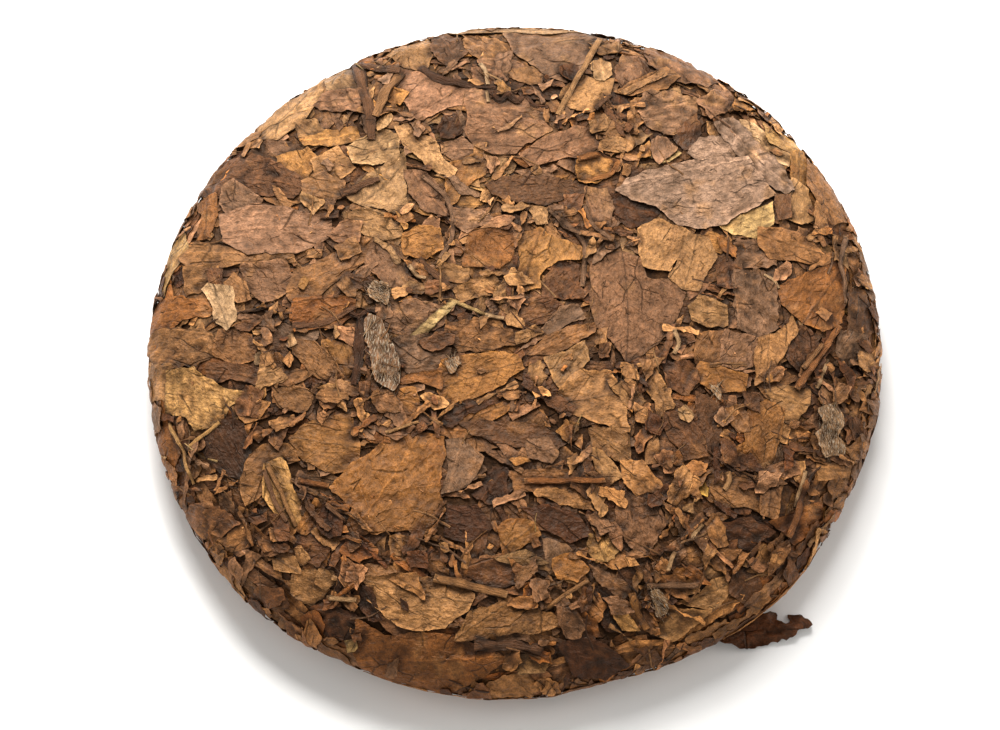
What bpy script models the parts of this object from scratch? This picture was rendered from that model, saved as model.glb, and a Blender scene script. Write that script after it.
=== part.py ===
# A pressed cake of white tea lying flat: one solid of leaves bonded to one another.
# Metres, +Z up. The origin is the middle of the underside of the whole shape's box.

import math
import random

import bpy
from mathutils import Vector, noise

MM = 0.001

# Driving dimensions of the cake
CORE_RADIUS = 98.6 * MM
WIDEST_HEIGHT = 9.0 * MM
CROWN_RISE = 15.9 * MM
FOOT_DROP = 7.9 * MM
CROWN_SQUARENESS = 5
FOOT_SQUARENESS = 9
UNDERSIDE_HOLLOW = 1.4 * MM
HOLLOW_RADIUS = 62.0 * MM

# The plan is a slight oval with one bulge and one flat on its edge
OVAL_SHARE = 0.009
OVAL_ANGLE = math.radians(45)
BULGE_ANGLE = math.radians(-47)
BULGE_SHARE = 0.015
BULGE_WIDTH = math.radians(13)
FLAT_ANGLE = math.radians(-76)
FLAT_SHARE = -0.009
FLAT_WIDTH = math.radians(9)

# Uneven pressing of the mass, as relief along the surface's normal
SWELL_HEIGHT = 0.8 * MM
SWELL_SPACING = 24.0 * MM
LUMP_HEIGHT = 0.45 * MM
LUMP_SPACING = 9.0 * MM
LUMP_SHIFT = Vector((7, 3, 5))

CORE_SEGMENTS = 48
CROWN_RINGS = 10
UNDERSIDE_RINGS = 6
CROWN_RING_POWER = 1.25
UNDERSIDE_RING_POWER = 1.35
PROFILE_STEPS = 400

# Leaves, strips and stems that stand proud of the mass
LEAF_STATIONS = 4
LEAF_SINK = 2.0 * MM
LEAF_LIFT = 0.7 * MM
LIFT_STEP = 0.16 * MM
LIFT_STEPS = 5
LEAF_SLOPE = 0.25 * MM
LEAF_WAVE = 0.2 * MM
RIB_HEIGHT = 0.22 * MM
END_WIDTH_SHARE = 0.3
LEAF_BLUNTNESS = 0.7
LEAF_SWING = 0.06
EDGE_SPREAD = 0.14

RIM_STRIPS = 17
RIM_BAND = (97.0 * MM, 108.0 * MM)
RIM_STRIP_LENGTH = (26.0 * MM, 40.0 * MM)
RIM_STRIP_WIDTH = (5.0 * MM, 9.0 * MM)
RIM_STEP_SPREAD = 0.3
RIM_TURN_SPREAD = 0.25

UNDERSIDE_LEAVES = 13
UNDERSIDE_SPREAD = 82.0 * MM
UNDERSIDE_LEAF_LENGTH = (26.0 * MM, 40.0 * MM)
UNDERSIDE_LEAF_WIDTH = (14.0 * MM, 22.0 * MM)
GOLDEN_ANGLE = math.radians(137.508)

STEM_SIDES = 6
STEM_STATIONS = 3

FLOOR_CUTTER_SIZE = 400.0 * MM
RANDOM_SEED = 27

# Broad leaves on the crown, lowest first: middle x, middle y, length, width in mm, turn in degrees
CROWN_LEAVES = [
    # back left
    (-56, 71, 26, 12, 42), (-76, 46, 28, 9, 50), (-61, 30, 36, 18, -5), (-38, 48, 24, 20, 40),
    # back
    (-14, 68, 30, 13, 14), (0, 56, 26, 13, -20), (10, 86, 34, 13, -14), (39, 77, 23, 12, 18),
    (47, 66, 25, 13, 24),
    # back right
    (63, 61, 34, 9, -47), (50, 43, 42, 18, 8), (81, 14, 28, 16, 70),
    # middle
    (8, 43, 34, 8, 0), (43, 23, 25, 16, -40), (32, 10, 33, 24, 80), (66, 5, 18, 13, 20),
    (50, -5, 19, 11, 60), (8, 21, 21, 13, 60), (-23, 5, 27, 12, 10), (-14, -13, 27, 12, 0),
    (22, -21, 26, 17, -50), (0, -31, 28, 10, -15),
    # left
    (-75, 17, 34, 10, 3), (-52, 8, 21, 10, 25), (-81, -19, 23, 14, -10), (-74, -36, 18, 15, -60),
    (-53, -35, 21, 17, -12), (-65, -47, 25, 13, -65), (-33, -44, 37, 20, 55), (-14, -41, 17, 12, 60),
    # right
    (66, -31, 20, 12, 80), (57, -47, 26, 13, -15), (90, -6, 21, 8, 88), (79, -48, 20, 11, 58),
    # front
    (10, -54, 20, 13, -35), (-60, -71, 25, 12, -35), (-20, -65, 24, 13, -25), (60, -63, 22, 12, -5),
    (-26, -77, 34, 18, -12), (-3, -82, 29, 13, 20), (-21, -92, 40, 16, -8), (21, -92, 21, 12, 5),
    (46, -76, 24, 11, 30),
]

# Stems and twisted strips: first x, y and last x, y, radius in mm, sideways bow in mm
STEMS = [
    (-26, 77, -5, 73, 1.5, -2.0), (-30, 80, -42, 58, 1.6, 3.0), (19, 41, 18, 12, 1.3, -1.5),
    (88, 22, 90, -2, 1.3, -2.0), (76, -15, 88, 1, 1.5, 0.0), (3, -44, 26, -45, 1.3, -0.6),
    (-22, -72, -2, -78, 1.6, 1.0), (74, -60, 80, -38, 1.6, -0.6),
]

# The torn leaf at the foot of the front right edge, as stations along its length:
# x, lower y, upper y in mm. The fifth and sixth carry the notch in its upper side.
SCRAP_STATIONS = [
    (46, -84.5, -70.0), (54, -83.6, -71.5), (60, -84.2, -73.0), (65.5, -82.6, -72.6),
    (68.6, -81.6, -75.8), (71.6, -80.4, -75.9), (73.2, -79.4, -72.9), (76.4, -77.2, -73.2),
    (78.8, -76.0, -74.8),
]
SCRAP_THICKNESS = 1.1 * MM
SCRAP_HEIGHT = 1.3 * MM
SCRAP_WAVE = 0.45 * MM
SCRAP_WAVE_LENGTH = 17.0 * MM
SCRAP_WAVE_SLANT = 0.6

LEAF_COLOUR = (0.225, 0.115, 0.055, 1)
LEAF_ROUGHNESS = 0.7


def profile_point(t):
    """Radius and height of the section: t is 0 at the top, 1 at the widest ring, 2 underneath."""
    radius = CORE_RADIUS * abs(math.sin(t * math.pi / 2))
    share = radius / CORE_RADIUS
    if t <= 1:
        return radius, WIDEST_HEIGHT + CROWN_RISE * math.sqrt(max(0.0, 1 - share ** CROWN_SQUARENESS))
    height = WIDEST_HEIGHT - FOOT_DROP * math.sqrt(max(0.0, 1 - share ** FOOT_SQUARENESS))
    if radius < HOLLOW_RADIUS:
        height += UNDERSIDE_HOLLOW * (1 - (radius / HOLLOW_RADIUS) ** 2) ** 2
    return radius, height


def measure_profile():
    """The section as (distance along it, radius, height), from the top to the underside."""
    rows = []
    along = 0.0
    last = None
    for step in range(PROFILE_STEPS + 1):
        radius, height = profile_point(2 * step / PROFILE_STEPS)
        if last:
            along += math.hypot(radius - last[0], height - last[1])
        last = (radius, height)
        rows.append((along, radius, height))
    return rows


PROFILE = measure_profile()
PROFILE_LENGTH = PROFILE[-1][0]


def section_at(along):
    """Radius, height and outward normal of the section at a distance along it."""
    along = min(max(along, 0.0), PROFILE_LENGTH)
    low, high = 0, PROFILE_STEPS
    while high - low > 1:
        middle = (low + high) // 2
        if PROFILE[middle][0] <= along:
            low = middle
        else:
            high = middle
    (start, radius_a, height_a), (end, radius_b, height_b) = PROFILE[low], PROFILE[high]
    share = (along - start) / (end - start)
    run = (radius_b - radius_a) / (end - start)
    rise = (height_b - height_a) / (end - start)
    radius = radius_a + (radius_b - radius_a) * share
    height = height_a + (height_b - height_a) * share
    return radius, height, -rise, run


def hump(angle, middle, width):
    """A smooth hump of height 1 round one angle."""
    away = math.remainder(angle - middle, 2 * math.pi)
    return math.exp(-(away / width) ** 2)


def plan_share(angle):
    """How far the outline stands from a true circle at an angle, as a factor."""
    oval = OVAL_SHARE * math.cos(2 * (angle - OVAL_ANGLE))
    bulge = BULGE_SHARE * hump(angle, BULGE_ANGLE, BULGE_WIDTH)
    flat = FLAT_SHARE * hump(angle, FLAT_ANGLE, FLAT_WIDTH)
    return 1 + oval + bulge + flat


def surface_point(x, y, underside=False, lift=0.0):
    """The point of the cake's skin that a flat map's point falls on, raised by lift.

    The map keeps distances from the middle of the crown, or of the underside.
    """
    angle = math.atan2(y, x)
    along = math.hypot(x, y)
    radius, height, out, up = section_at(PROFILE_LENGTH - along if underside else along)
    radius *= plan_share(angle)
    point = Vector((radius * math.cos(angle), radius * math.sin(angle), height))
    normal = Vector((out * math.cos(angle), out * math.sin(angle), up))
    swell = SWELL_HEIGHT * noise.noise(point / SWELL_SPACING)
    lump = LUMP_HEIGHT * noise.noise(point / LUMP_SPACING + LUMP_SHIFT)
    return point + normal * (swell + lump + lift)


def make_mesh(name, points, faces):
    """A mesh object from corner points and faces."""
    mesh = bpy.data.meshes.new(name)
    mesh.from_pydata(points, [], faces)
    mesh.validate()
    mesh.update()
    thing = bpy.data.objects.new(name, mesh)
    bpy.context.scene.collection.objects.link(thing)
    return thing


def close_grid(rows, columns):
    """Faces of a plate whose upper and lower grids of points are split into triangles alike."""
    layer = rows * columns
    faces = []
    for row in range(rows - 1):
        for column in range(columns - 1):
            a = row * columns + column
            b, c, d = a + columns, a + columns + 1, a + 1
            faces += [(a, c, b), (a, d, c)]
            faces += [(a + layer, b + layer, c + layer), (a + layer, c + layer, d + layer)]
    border = [row * columns for row in range(rows)]
    border += [(rows - 1) * columns + column for column in range(1, columns)]
    border += [row * columns + columns - 1 for row in range(rows - 2, -1, -1)]
    border += list(range(columns - 2, 0, -1))
    for here, there in zip(border, border[1:] + border[:1]):
        faces += [(here, there + layer, here + layer), (here, there, there + layer)]
    return faces


def make_core():
    """The pressed mass under the leaves that show."""
    points = [surface_point(0, 0)]
    crown_end = PROFILE[PROFILE_STEPS // 2][0]
    underside_length = PROFILE_LENGTH - crown_end
    rings = [
        crown_end * (1 - (1 - ring / CROWN_RINGS) ** CROWN_RING_POWER)
        for ring in range(1, CROWN_RINGS + 1)
    ]
    rings += [
        crown_end + underside_length * (ring / UNDERSIDE_RINGS) ** UNDERSIDE_RING_POWER
        for ring in range(1, UNDERSIDE_RINGS)
    ]
    for along in rings:
        for segment in range(CORE_SEGMENTS):
            angle = 2 * math.pi * segment / CORE_SEGMENTS
            points.append(surface_point(along * math.cos(angle), along * math.sin(angle)))
    points.append(surface_point(0, 0, underside=True))
    faces = []
    last_ring = 1 + (len(rings) - 1) * CORE_SEGMENTS
    for segment in range(CORE_SEGMENTS):
        after = (segment + 1) % CORE_SEGMENTS
        faces.append((0, 1 + segment, 1 + after))
        for ring in range(len(rings) - 1):
            a = 1 + ring * CORE_SEGMENTS + segment
            b = 1 + ring * CORE_SEGMENTS + after
            faces += [(a, a + CORE_SEGMENTS, b + CORE_SEGMENTS), (a, b + CORE_SEGMENTS, b)]
        faces.append((last_ring + segment, len(points) - 1, last_ring + after))
    return make_mesh("core", points, faces)


def make_leaf(name, middle, length, width, turn, number, draw, underside=False):
    """A thin wavy leaf along a rib, hugging the skin with its lower face sunk in the mass."""
    lift = LEAF_LIFT + LIFT_STEP * (number % LIFT_STEPS)
    slope = LEAF_SLOPE * draw.choice((-1, 1))
    phase = draw.uniform(0, 2 * math.pi)
    swing = length * draw.uniform(-LEAF_SWING, LEAF_SWING)
    ahead = Vector((math.cos(turn), math.sin(turn)))
    aside = Vector((-ahead.y, ahead.x))
    upper, lower = [], []
    for station in range(LEAF_STATIONS + 1):
        share = station / LEAF_STATIONS
        fullness = END_WIDTH_SHARE + (1 - END_WIDTH_SHARE) * math.sin(math.pi * share) ** LEAF_BLUNTNESS
        wave = LEAF_WAVE * math.sin(phase + share * 2 * math.pi)
        bend = swing * math.sin(math.pi * share)
        for side in (1, 0, -1):
            spread = side * width / 2 * fullness * (1 + draw.uniform(-EDGE_SPREAD, EDGE_SPREAD))
            spot = middle + ahead * (length * (share - 0.5)) + aside * (spread + bend)
            rib = RIB_HEIGHT if side == 0 else 0.0
            height = lift + slope * side + wave + rib
            if underside:
                spot.x = -spot.x
            upper.append(surface_point(spot.x, spot.y, underside, height))
            lower.append(surface_point(spot.x, spot.y, underside, height - LEAF_SINK))
    return make_mesh(name, upper + lower, close_grid(LEAF_STATIONS + 1, 3))


def make_stem(name, start, end, radius, bow):
    """A six-sided stem half sunk in the skin, bowed a little to one side."""
    ahead = (end - start).normalized()
    aside = Vector((-ahead.y, ahead.x))
    points, faces = [], []
    for station in range(STEM_STATIONS + 1):
        share = station / STEM_STATIONS
        spot = start.lerp(end, share) + aside * (bow * math.sin(math.pi * share))
        centre = surface_point(spot.x, spot.y)
        normal = (surface_point(spot.x, spot.y, lift=radius) - centre).normalized()
        flat_aside = Vector((aside.x, aside.y, 0))
        across = (flat_aside - normal * flat_aside.dot(normal)).normalized()
        for side in range(STEM_SIDES):
            angle = 2 * math.pi * (side + 0.5) / STEM_SIDES
            points.append(centre + across * (radius * math.cos(angle)) + normal * (radius * math.sin(angle)))
    for station in range(STEM_STATIONS):
        for side in range(STEM_SIDES):
            a = station * STEM_SIDES + side
            b = station * STEM_SIDES + (side + 1) % STEM_SIDES
            faces += [(a, b, b + STEM_SIDES), (a, b + STEM_SIDES, a + STEM_SIDES)]
    last = STEM_STATIONS * STEM_SIDES
    for side in range(1, STEM_SIDES - 1):
        faces.append((0, side + 1, side))
        faces.append((last, last + side, last + side + 1))
    return make_mesh(name, points, faces)


def make_scrap():
    """The torn leaf that sticks out from under the edge, lying just above the floor."""
    upper, lower = [], []
    for x, low_y, high_y in SCRAP_STATIONS:
        for share in (1, 0.5, 0):
            y = low_y + (high_y - low_y) * share
            wave = math.sin(2 * math.pi * (x + SCRAP_WAVE_SLANT * y) * MM / SCRAP_WAVE_LENGTH)
            height = SCRAP_HEIGHT + SCRAP_WAVE * wave
            upper.append(Vector((x * MM, y * MM, height + SCRAP_THICKNESS / 2)))
            lower.append(Vector((x * MM, y * MM, height - SCRAP_THICKNESS / 2)))
    return make_mesh("scrap", upper + lower, close_grid(len(SCRAP_STATIONS), 3))


def crown_pieces(draw):
    """The broad leaves and stems of the crown, in the order of the lists."""
    pieces = []
    for number, (x, y, length, width, turn) in enumerate(CROWN_LEAVES):
        middle = Vector((x, y)) * MM
        pieces.append(make_leaf(f"crown_leaf_{number}", middle, length * MM, width * MM,
                                math.radians(turn), number, draw))
    for number, (x1, y1, x2, y2, radius, bow) in enumerate(STEMS):
        start, end = Vector((x1, y1)) * MM, Vector((x2, y2)) * MM
        pieces.append(make_stem(f"stem_{number}", start, end, radius * MM, bow * MM))
    return pieces


def rim_pieces(draw):
    """Narrow leaves laid along the rounded edge, one over the other."""
    pieces = []
    for number in range(RIM_STRIPS):
        step = number + draw.uniform(-RIM_STEP_SPREAD, RIM_STEP_SPREAD)
        angle = 2 * math.pi * step / RIM_STRIPS
        along = draw.uniform(*RIM_BAND)
        middle = Vector((math.cos(angle), math.sin(angle))) * along
        turn = angle + math.pi / 2 + draw.uniform(-RIM_TURN_SPREAD, RIM_TURN_SPREAD)
        pieces.append(make_leaf(f"rim_strip_{number}", middle, draw.uniform(*RIM_STRIP_LENGTH),
                                draw.uniform(*RIM_STRIP_WIDTH), turn, number, draw))
    return pieces


def underside_pieces(draw):
    """Leaves of the underside, spread evenly by the golden angle."""
    pieces = []
    for number in range(UNDERSIDE_LEAVES):
        away = UNDERSIDE_SPREAD * math.sqrt((number + 0.5) / UNDERSIDE_LEAVES)
        angle = number * GOLDEN_ANGLE
        middle = Vector((math.cos(angle), math.sin(angle))) * away
        pieces.append(make_leaf(f"underside_leaf_{number}", middle, draw.uniform(*UNDERSIDE_LEAF_LENGTH),
                                draw.uniform(*UNDERSIDE_LEAF_WIDTH), draw.uniform(0, math.pi),
                                number, draw, underside=True))
    return pieces


def apply_modifiers(thing):
    """Bake an object's modifiers into its mesh."""
    graph = bpy.context.evaluated_depsgraph_get()
    mesh = bpy.data.meshes.new_from_object(thing.evaluated_get(graph))
    thing.modifiers.clear()
    old = thing.data
    thing.data = mesh
    bpy.data.meshes.remove(old)


def fuse(body, pieces):
    """One union of the body with a collection of pieces, which are then removed."""
    group = bpy.data.collections.new("to_fuse")
    bpy.context.scene.collection.children.link(group)
    for piece in pieces:
        bpy.context.scene.collection.objects.unlink(piece)
        group.objects.link(piece)
    union = body.modifiers.new("union", "BOOLEAN")
    union.operation = "UNION"
    union.operand_type = "COLLECTION"
    union.collection = group
    union.solver = "MANIFOLD"
    apply_modifiers(body)
    for piece in pieces:
        bpy.data.objects.remove(piece)
    bpy.data.collections.remove(group)


def cut_to_floor(body):
    """Cut what reaches under the floor, which leaves flat spots to rest on."""
    half = FLOOR_CUTTER_SIZE / 2
    corners = [(x, y, z) for z in (-half, 0) for y in (-half, half) for x in (-half, half)]
    faces = [(0, 2, 3, 1), (4, 5, 7, 6), (0, 1, 5, 4), (2, 6, 7, 3), (0, 4, 6, 2), (1, 3, 7, 5)]
    cutter = make_mesh("floor_cutter", corners, faces)
    cut = body.modifiers.new("floor", "BOOLEAN")
    cut.operation = "DIFFERENCE"
    cut.object = cutter
    cut.solver = "MANIFOLD"
    apply_modifiers(body)
    bpy.data.objects.remove(cutter)


def keep_largest_body(thing):
    """Drop every loose scrap and sealed hollow: keep the largest joined set of faces."""
    mesh = thing.data
    parent = list(range(len(mesh.vertices)))

    def root(index):
        while parent[index] != index:
            parent[index] = parent[parent[index]]
            index = parent[index]
        return index

    for edge in mesh.edges:
        a, b = root(edge.vertices[0]), root(edge.vertices[1])
        parent[a] = b
    sizes = {}
    for index in range(len(parent)):
        sizes[root(index)] = sizes.get(root(index), 0) + 1
    largest = max(sizes, key=sizes.get)
    kept = [index for index in range(len(parent)) if root(index) == largest]
    renumber = {old: new for new, old in enumerate(kept)}
    points = [mesh.vertices[index].co.copy() for index in kept]
    faces = [[renumber[v] for v in face.vertices] for face in mesh.polygons if face.vertices[0] in renumber]
    clean = bpy.data.meshes.new(thing.name)
    clean.from_pydata(points, [], faces)
    clean.update()
    thing.data = clean
    bpy.data.meshes.remove(mesh)


def centre_on_origin(thing):
    """Move the points so that the box's underside is centred on the origin."""
    points = [vertex.co for vertex in thing.data.vertices]
    low = Vector([min(point[axis] for point in points) for axis in range(3)])
    high = Vector([max(point[axis] for point in points) for axis in range(3)])
    middle = Vector(((low.x + high.x) / 2, (low.y + high.y) / 2, low.z))
    for vertex in thing.data.vertices:
        vertex.co -= middle


def leaf_material():
    """Dry pressed leaf, warm brown and dull."""
    material = bpy.data.materials.new("pressed_leaf")
    material.use_nodes = True
    shader = material.node_tree.nodes["Principled BSDF"]
    shader.inputs["Base Color"].default_value = LEAF_COLOUR
    shader.inputs["Roughness"].default_value = LEAF_ROUGHNESS
    shader.inputs["Metallic"].default_value = 0.0
    return material


def main():
    for thing in list(bpy.data.objects):
        bpy.data.objects.remove(thing)
    draw = random.Random(RANDOM_SEED)
    cake = make_core()
    fuse(cake, crown_pieces(draw) + rim_pieces(draw) + underside_pieces(draw) + [make_scrap()])
    cut_to_floor(cake)
    keep_largest_body(cake)
    centre_on_origin(cake)
    cake.name = "tea_cake"
    cake.data.name = "tea_cake"
    cake.data.materials.clear()
    cake.data.materials.append(leaf_material())


main()
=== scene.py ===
import math
import random

import bpy
import numpy as np
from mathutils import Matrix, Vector, geometry


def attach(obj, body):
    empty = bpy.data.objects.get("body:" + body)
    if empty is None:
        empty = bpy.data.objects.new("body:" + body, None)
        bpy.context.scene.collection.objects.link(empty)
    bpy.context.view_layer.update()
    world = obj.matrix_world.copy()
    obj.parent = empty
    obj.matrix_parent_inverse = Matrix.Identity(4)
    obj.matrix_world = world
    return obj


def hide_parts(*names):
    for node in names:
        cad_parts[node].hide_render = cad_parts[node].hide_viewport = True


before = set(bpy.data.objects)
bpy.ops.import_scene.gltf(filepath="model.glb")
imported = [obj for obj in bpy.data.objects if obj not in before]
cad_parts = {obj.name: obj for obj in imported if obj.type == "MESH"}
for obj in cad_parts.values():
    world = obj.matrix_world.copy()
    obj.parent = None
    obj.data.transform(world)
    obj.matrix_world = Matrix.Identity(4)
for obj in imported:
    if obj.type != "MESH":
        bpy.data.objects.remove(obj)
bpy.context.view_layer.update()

# Everything is laid out in millimetres on the cake's skin and turned to metres
# when a mesh is made.
metre = 0.001

# the pressed disc under its leaves
cake = {
    "radius": 98.3,
    "widestAt": 9.0,
    "crownRise": 15.6,
    "footDrop": 7.6,
    "crownSquareness": 5,
    "footSquareness": 9,
    "hollowDepth": 1.4,
    "hollowRadius": 62.0,
    "ovalShare": 0.009,
    "ovalAngle": math.radians(45),
    "edgeHumps": [(-47, 0.015, 13), (-76, -0.009, 9), (60, 0.004, 9), (-135, 0.005, 10)],
    "swell": (0.8, 26.0),
    "lumps": (0.5, 9.0),
    "seed": 41,
}

# where the cake is looked at from
view = {
    "tilt": math.radians(65.5),
    "distance": 1000.0,
    "lookAt": (-4.0, -3.5, 7.4),
    "pictureWidth": 270.6,
    "sensor": 36,
    "clipStart": 0.05,
    "squash": 0.923,
    "seenMiddle": (4.0, 0.05),
}


randomHills = {"tableSize": 4096, "steps": (73856093, 19349663, 83492791)}


def hills(x, y, z, size, seed):
    # smooth random hills between about -1 and 1, one every `size`
    table = np.random.RandomState(seed).rand(randomHills["tableSize"]) * 2 - 1
    stepX, stepY, stepZ = randomHills["steps"]
    spots = [np.asarray(c, dtype=float) / size for c in (x, y, z)]
    cells = [np.floor(c) for c in spots]
    parts = [c - f for c, f in zip(spots, cells)]
    parts = [p * p * (3 - 2 * p) for p in parts]
    whole = [f.astype(np.int64) for f in cells]
    total = 0.0
    for dx in (0, 1):
        for dy in (0, 1):
            for dz in (0, 1):
                key = (whole[0] + dx) * stepX ^ (whole[1] + dy) * stepY ^ (whole[2] + dz) * stepZ
                weight = (parts[0] if dx else 1 - parts[0]) * (parts[1] if dy else 1 - parts[1])
                weight = weight * (parts[2] if dz else 1 - parts[2])
                total = total + weight * table[key & (len(table) - 1)]
    return total


def flatHills(x, y, size, seed):
    return hills(x, y, np.zeros(np.shape(x)), size, seed)


def makeSection():
    # half of the cake's section, from the middle of the crown round the edge to the
    # middle of the underside, with the way that each point of it faces
    detail = {"draft": 2401, "kept": 1200, "softened": 7}
    turn = np.linspace(0, 2, detail["draft"])
    radius = cake["radius"] * np.abs(np.sin(turn * math.pi / 2))
    share = radius / cake["radius"]
    crown = cake["crownRise"] * np.sqrt(np.clip(1 - share ** cake["crownSquareness"], 0, 1))
    foot = cake["footDrop"] * np.sqrt(np.clip(1 - share ** cake["footSquareness"], 0, 1))
    hollow = np.clip(1 - (radius / cake["hollowRadius"]) ** 2, 0, 1) ** 2 * cake["hollowDepth"]
    height = cake["widestAt"] + np.where(turn <= 1, crown, hollow - foot)
    along = np.concatenate([[0], np.cumsum(np.hypot(np.diff(radius), np.diff(height)))])
    even = np.linspace(0, along[-1], detail["kept"])
    radius = np.interp(even, along, radius)
    height = np.interp(even, along, height)
    out, up = -np.gradient(height, even), np.gradient(radius, even)
    reach = detail["softened"]
    soft = np.ones(2 * reach + 1) / (2 * reach + 1)
    out = np.convolve(np.pad(out, reach, mode="edge"), soft, mode="valid")
    up = np.convolve(np.pad(up, reach, mode="edge"), soft, mode="valid")
    size = np.hypot(out, up)
    return {"along": even, "radius": radius, "height": height, "out": out / size, "up": up / size}


section = makeSection()
sectionLength = section["along"][-1]


def planShare(angle):
    share = 1 + cake["ovalShare"] * np.cos(2 * (angle - cake["ovalAngle"]))
    for degrees, height, width in cake["edgeHumps"]:
        away = np.remainder(angle - math.radians(degrees) + math.pi, 2 * math.pi) - math.pi
        share = share + height * np.exp(-(away / math.radians(width)) ** 2)
    return share


def skin(x, y, lift=0.0, under=False):
    # a point of the flat map (distances kept from the middle of the crown, or of
    # the underside) on the cake's skin, raised by lift
    angle = np.arctan2(y, x)
    along = np.hypot(x, y)
    if under:
        along = sectionLength - along
    radius = np.interp(along, section["along"], section["radius"]) * planShare(angle)
    height = np.interp(along, section["along"], section["height"])
    out = np.interp(along, section["along"], section["out"])
    up = np.interp(along, section["along"], section["up"])
    px, py = radius * np.cos(angle), radius * np.sin(angle)
    swellHeight, swellSize = cake["swell"]
    lumpHeight, lumpSize = cake["lumps"]
    relief = swellHeight * 0.5 * hills(px, py, height, swellSize, cake["seed"])
    relief = relief + lumpHeight * 0.5 * hills(px, py, height, lumpSize, cake["seed"] + 1)
    raised = relief + lift
    return np.stack([px + out * np.cos(angle) * raised,
                     py + out * np.sin(angle) * raised,
                     height + up * raised], axis=-1)


# the way back to the eye, up and to the right in the front view
viewBack = np.array([0.0, -math.cos(view["tilt"]), math.sin(view["tilt"])])
viewUp = np.array([0.0, math.sin(view["tilt"]), math.cos(view["tilt"])])
viewRight = np.array([1.0, 0.0, 0.0])
lookAt = np.array(view["lookAt"])
eye = lookAt + viewBack * view["distance"]


def sightLine(x, y):
    across, upward = x + view["seenMiddle"][0], y * view["squash"] + view["seenMiddle"][1]
    target = lookAt + viewRight * across + viewUp * upward
    line = target - eye
    return line / np.linalg.norm(line)


def ontoCrown(x, y):
    # walk along the line of sight to the skin, then read the map place off it
    line = sightLine(x, y)
    reach, step, leafDepth = 130, 0.25, 0.9
    steps = np.arange(view["distance"] - reach, view["distance"] + reach, step)
    walk = eye + line * steps[:, None]
    radius = np.hypot(walk[:, 0], walk[:, 1])
    angle = np.arctan2(walk[:, 1], walk[:, 0])
    share = radius / (cake["radius"] * planShare(angle) + leafDepth)
    rise = (walk[:, 2] - cake["widestAt"]) / np.where(walk[:, 2] > cake["widestAt"],
                                                      cake["crownRise"] + leafDepth, cake["footDrop"])
    inside = share ** cake["crownSquareness"] + rise ** 2 - 1
    hit = int(np.argmax(inside < 0)) if (inside < 0).any() else int(np.argmin(inside))
    spot = walk[hit]
    angle = angle[hit]
    radius = radius[hit] / planShare(angle)
    gap = np.hypot(section["radius"] - radius, section["height"] - spot[2])
    along = section["along"][int(np.argmin(gap))]
    return along * math.cos(angle), along * math.sin(angle)


# the height of the pile of leaves is kept on a square map for each face (half its
# width and the step between its cells)
heightMaps = {"crown": 126, "underside": 112, "step": 0.5}


def makeField(half, under=False):
    count = int(2 * half / heightMaps["step"]) + 1
    return {"cells": np.zeros((count, count)), "taken": np.zeros((count, count)), "half": half,
            "step": heightMaps["step"], "under": under}


def readField(field, cells, x, y, corner=(0, 0)):
    fx = (np.asarray(x) + field["half"]) / field["step"] - corner[0]
    fy = (np.asarray(y) + field["half"]) / field["step"] - corner[1]
    fx = np.clip(fx, 0, cells.shape[0] - 1.001)
    fy = np.clip(fy, 0, cells.shape[1] - 1.001)
    ix, iy = fx.astype(int), fy.astype(int)
    tx, ty = fx - ix, fy - iy
    low = cells[ix, iy] * (1 - tx) + cells[ix + 1, iy] * tx
    high = cells[ix, iy + 1] * (1 - tx) + cells[ix + 1, iy + 1] * tx
    return low * (1 - ty) + high * ty


def spread(cells, reach, pick):
    # the highest (np.maximum) or the middle (None) of the neighbours within reach
    for axis in (0, 1):
        padded = np.pad(cells, [(reach, reach) if a == axis else (0, 0) for a in (0, 1)], mode="edge")
        count = cells.shape[axis]
        shifts = [np.take(padded, range(s, s + count), axis=axis) for s in range(2 * reach + 1)]
        if pick is None:
            cells = sum(shifts) / len(shifts)
        else:
            cells = shifts[0]
            for other in shifts[1:]:
                cells = pick(cells, other)
    return cells


def cutOut(field, points, margin):
    count = field["cells"].shape[0]
    low = np.floor((points.min(axis=0) - margin + field["half"]) / field["step"]).astype(int)
    high = np.ceil((points.max(axis=0) + margin + field["half"]) / field["step"]).astype(int)
    low = np.clip(low, 0, count - 4)
    high = np.clip(high, low + 3, count - 1)
    xs = low[0] + np.arange(high[0] - low[0] + 1)
    ys = low[1] + np.arange(high[1] - low[1] + 1)
    x, y = np.meshgrid(xs * field["step"] - field["half"], ys * field["step"] - field["half"],
                       indexing="ij")
    return low, high, x, y


def signedDistance(x, y, outline):
    # positive inside the outline
    distance = np.full(x.shape, 1e9)
    inside = np.zeros(x.shape, dtype=bool)
    following = np.roll(outline, -1, axis=0)
    for (ax, ay), (bx, by) in zip(outline, following):
        dx, dy = bx - ax, by - ay
        share = np.clip(((x - ax) * dx + (y - ay) * dy) / max(dx * dx + dy * dy, 1e-9), 0, 1)
        distance = np.minimum(distance, (x - ax - dx * share) ** 2 + (y - ay - dy * share) ** 2)
        if ay != by:
            crossing = ((ay > y) != (by > y)) & (x < dx * (y - ay) / dy + ax)
            inside ^= crossing
    return np.where(inside, 1, -1) * np.sqrt(distance)


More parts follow.
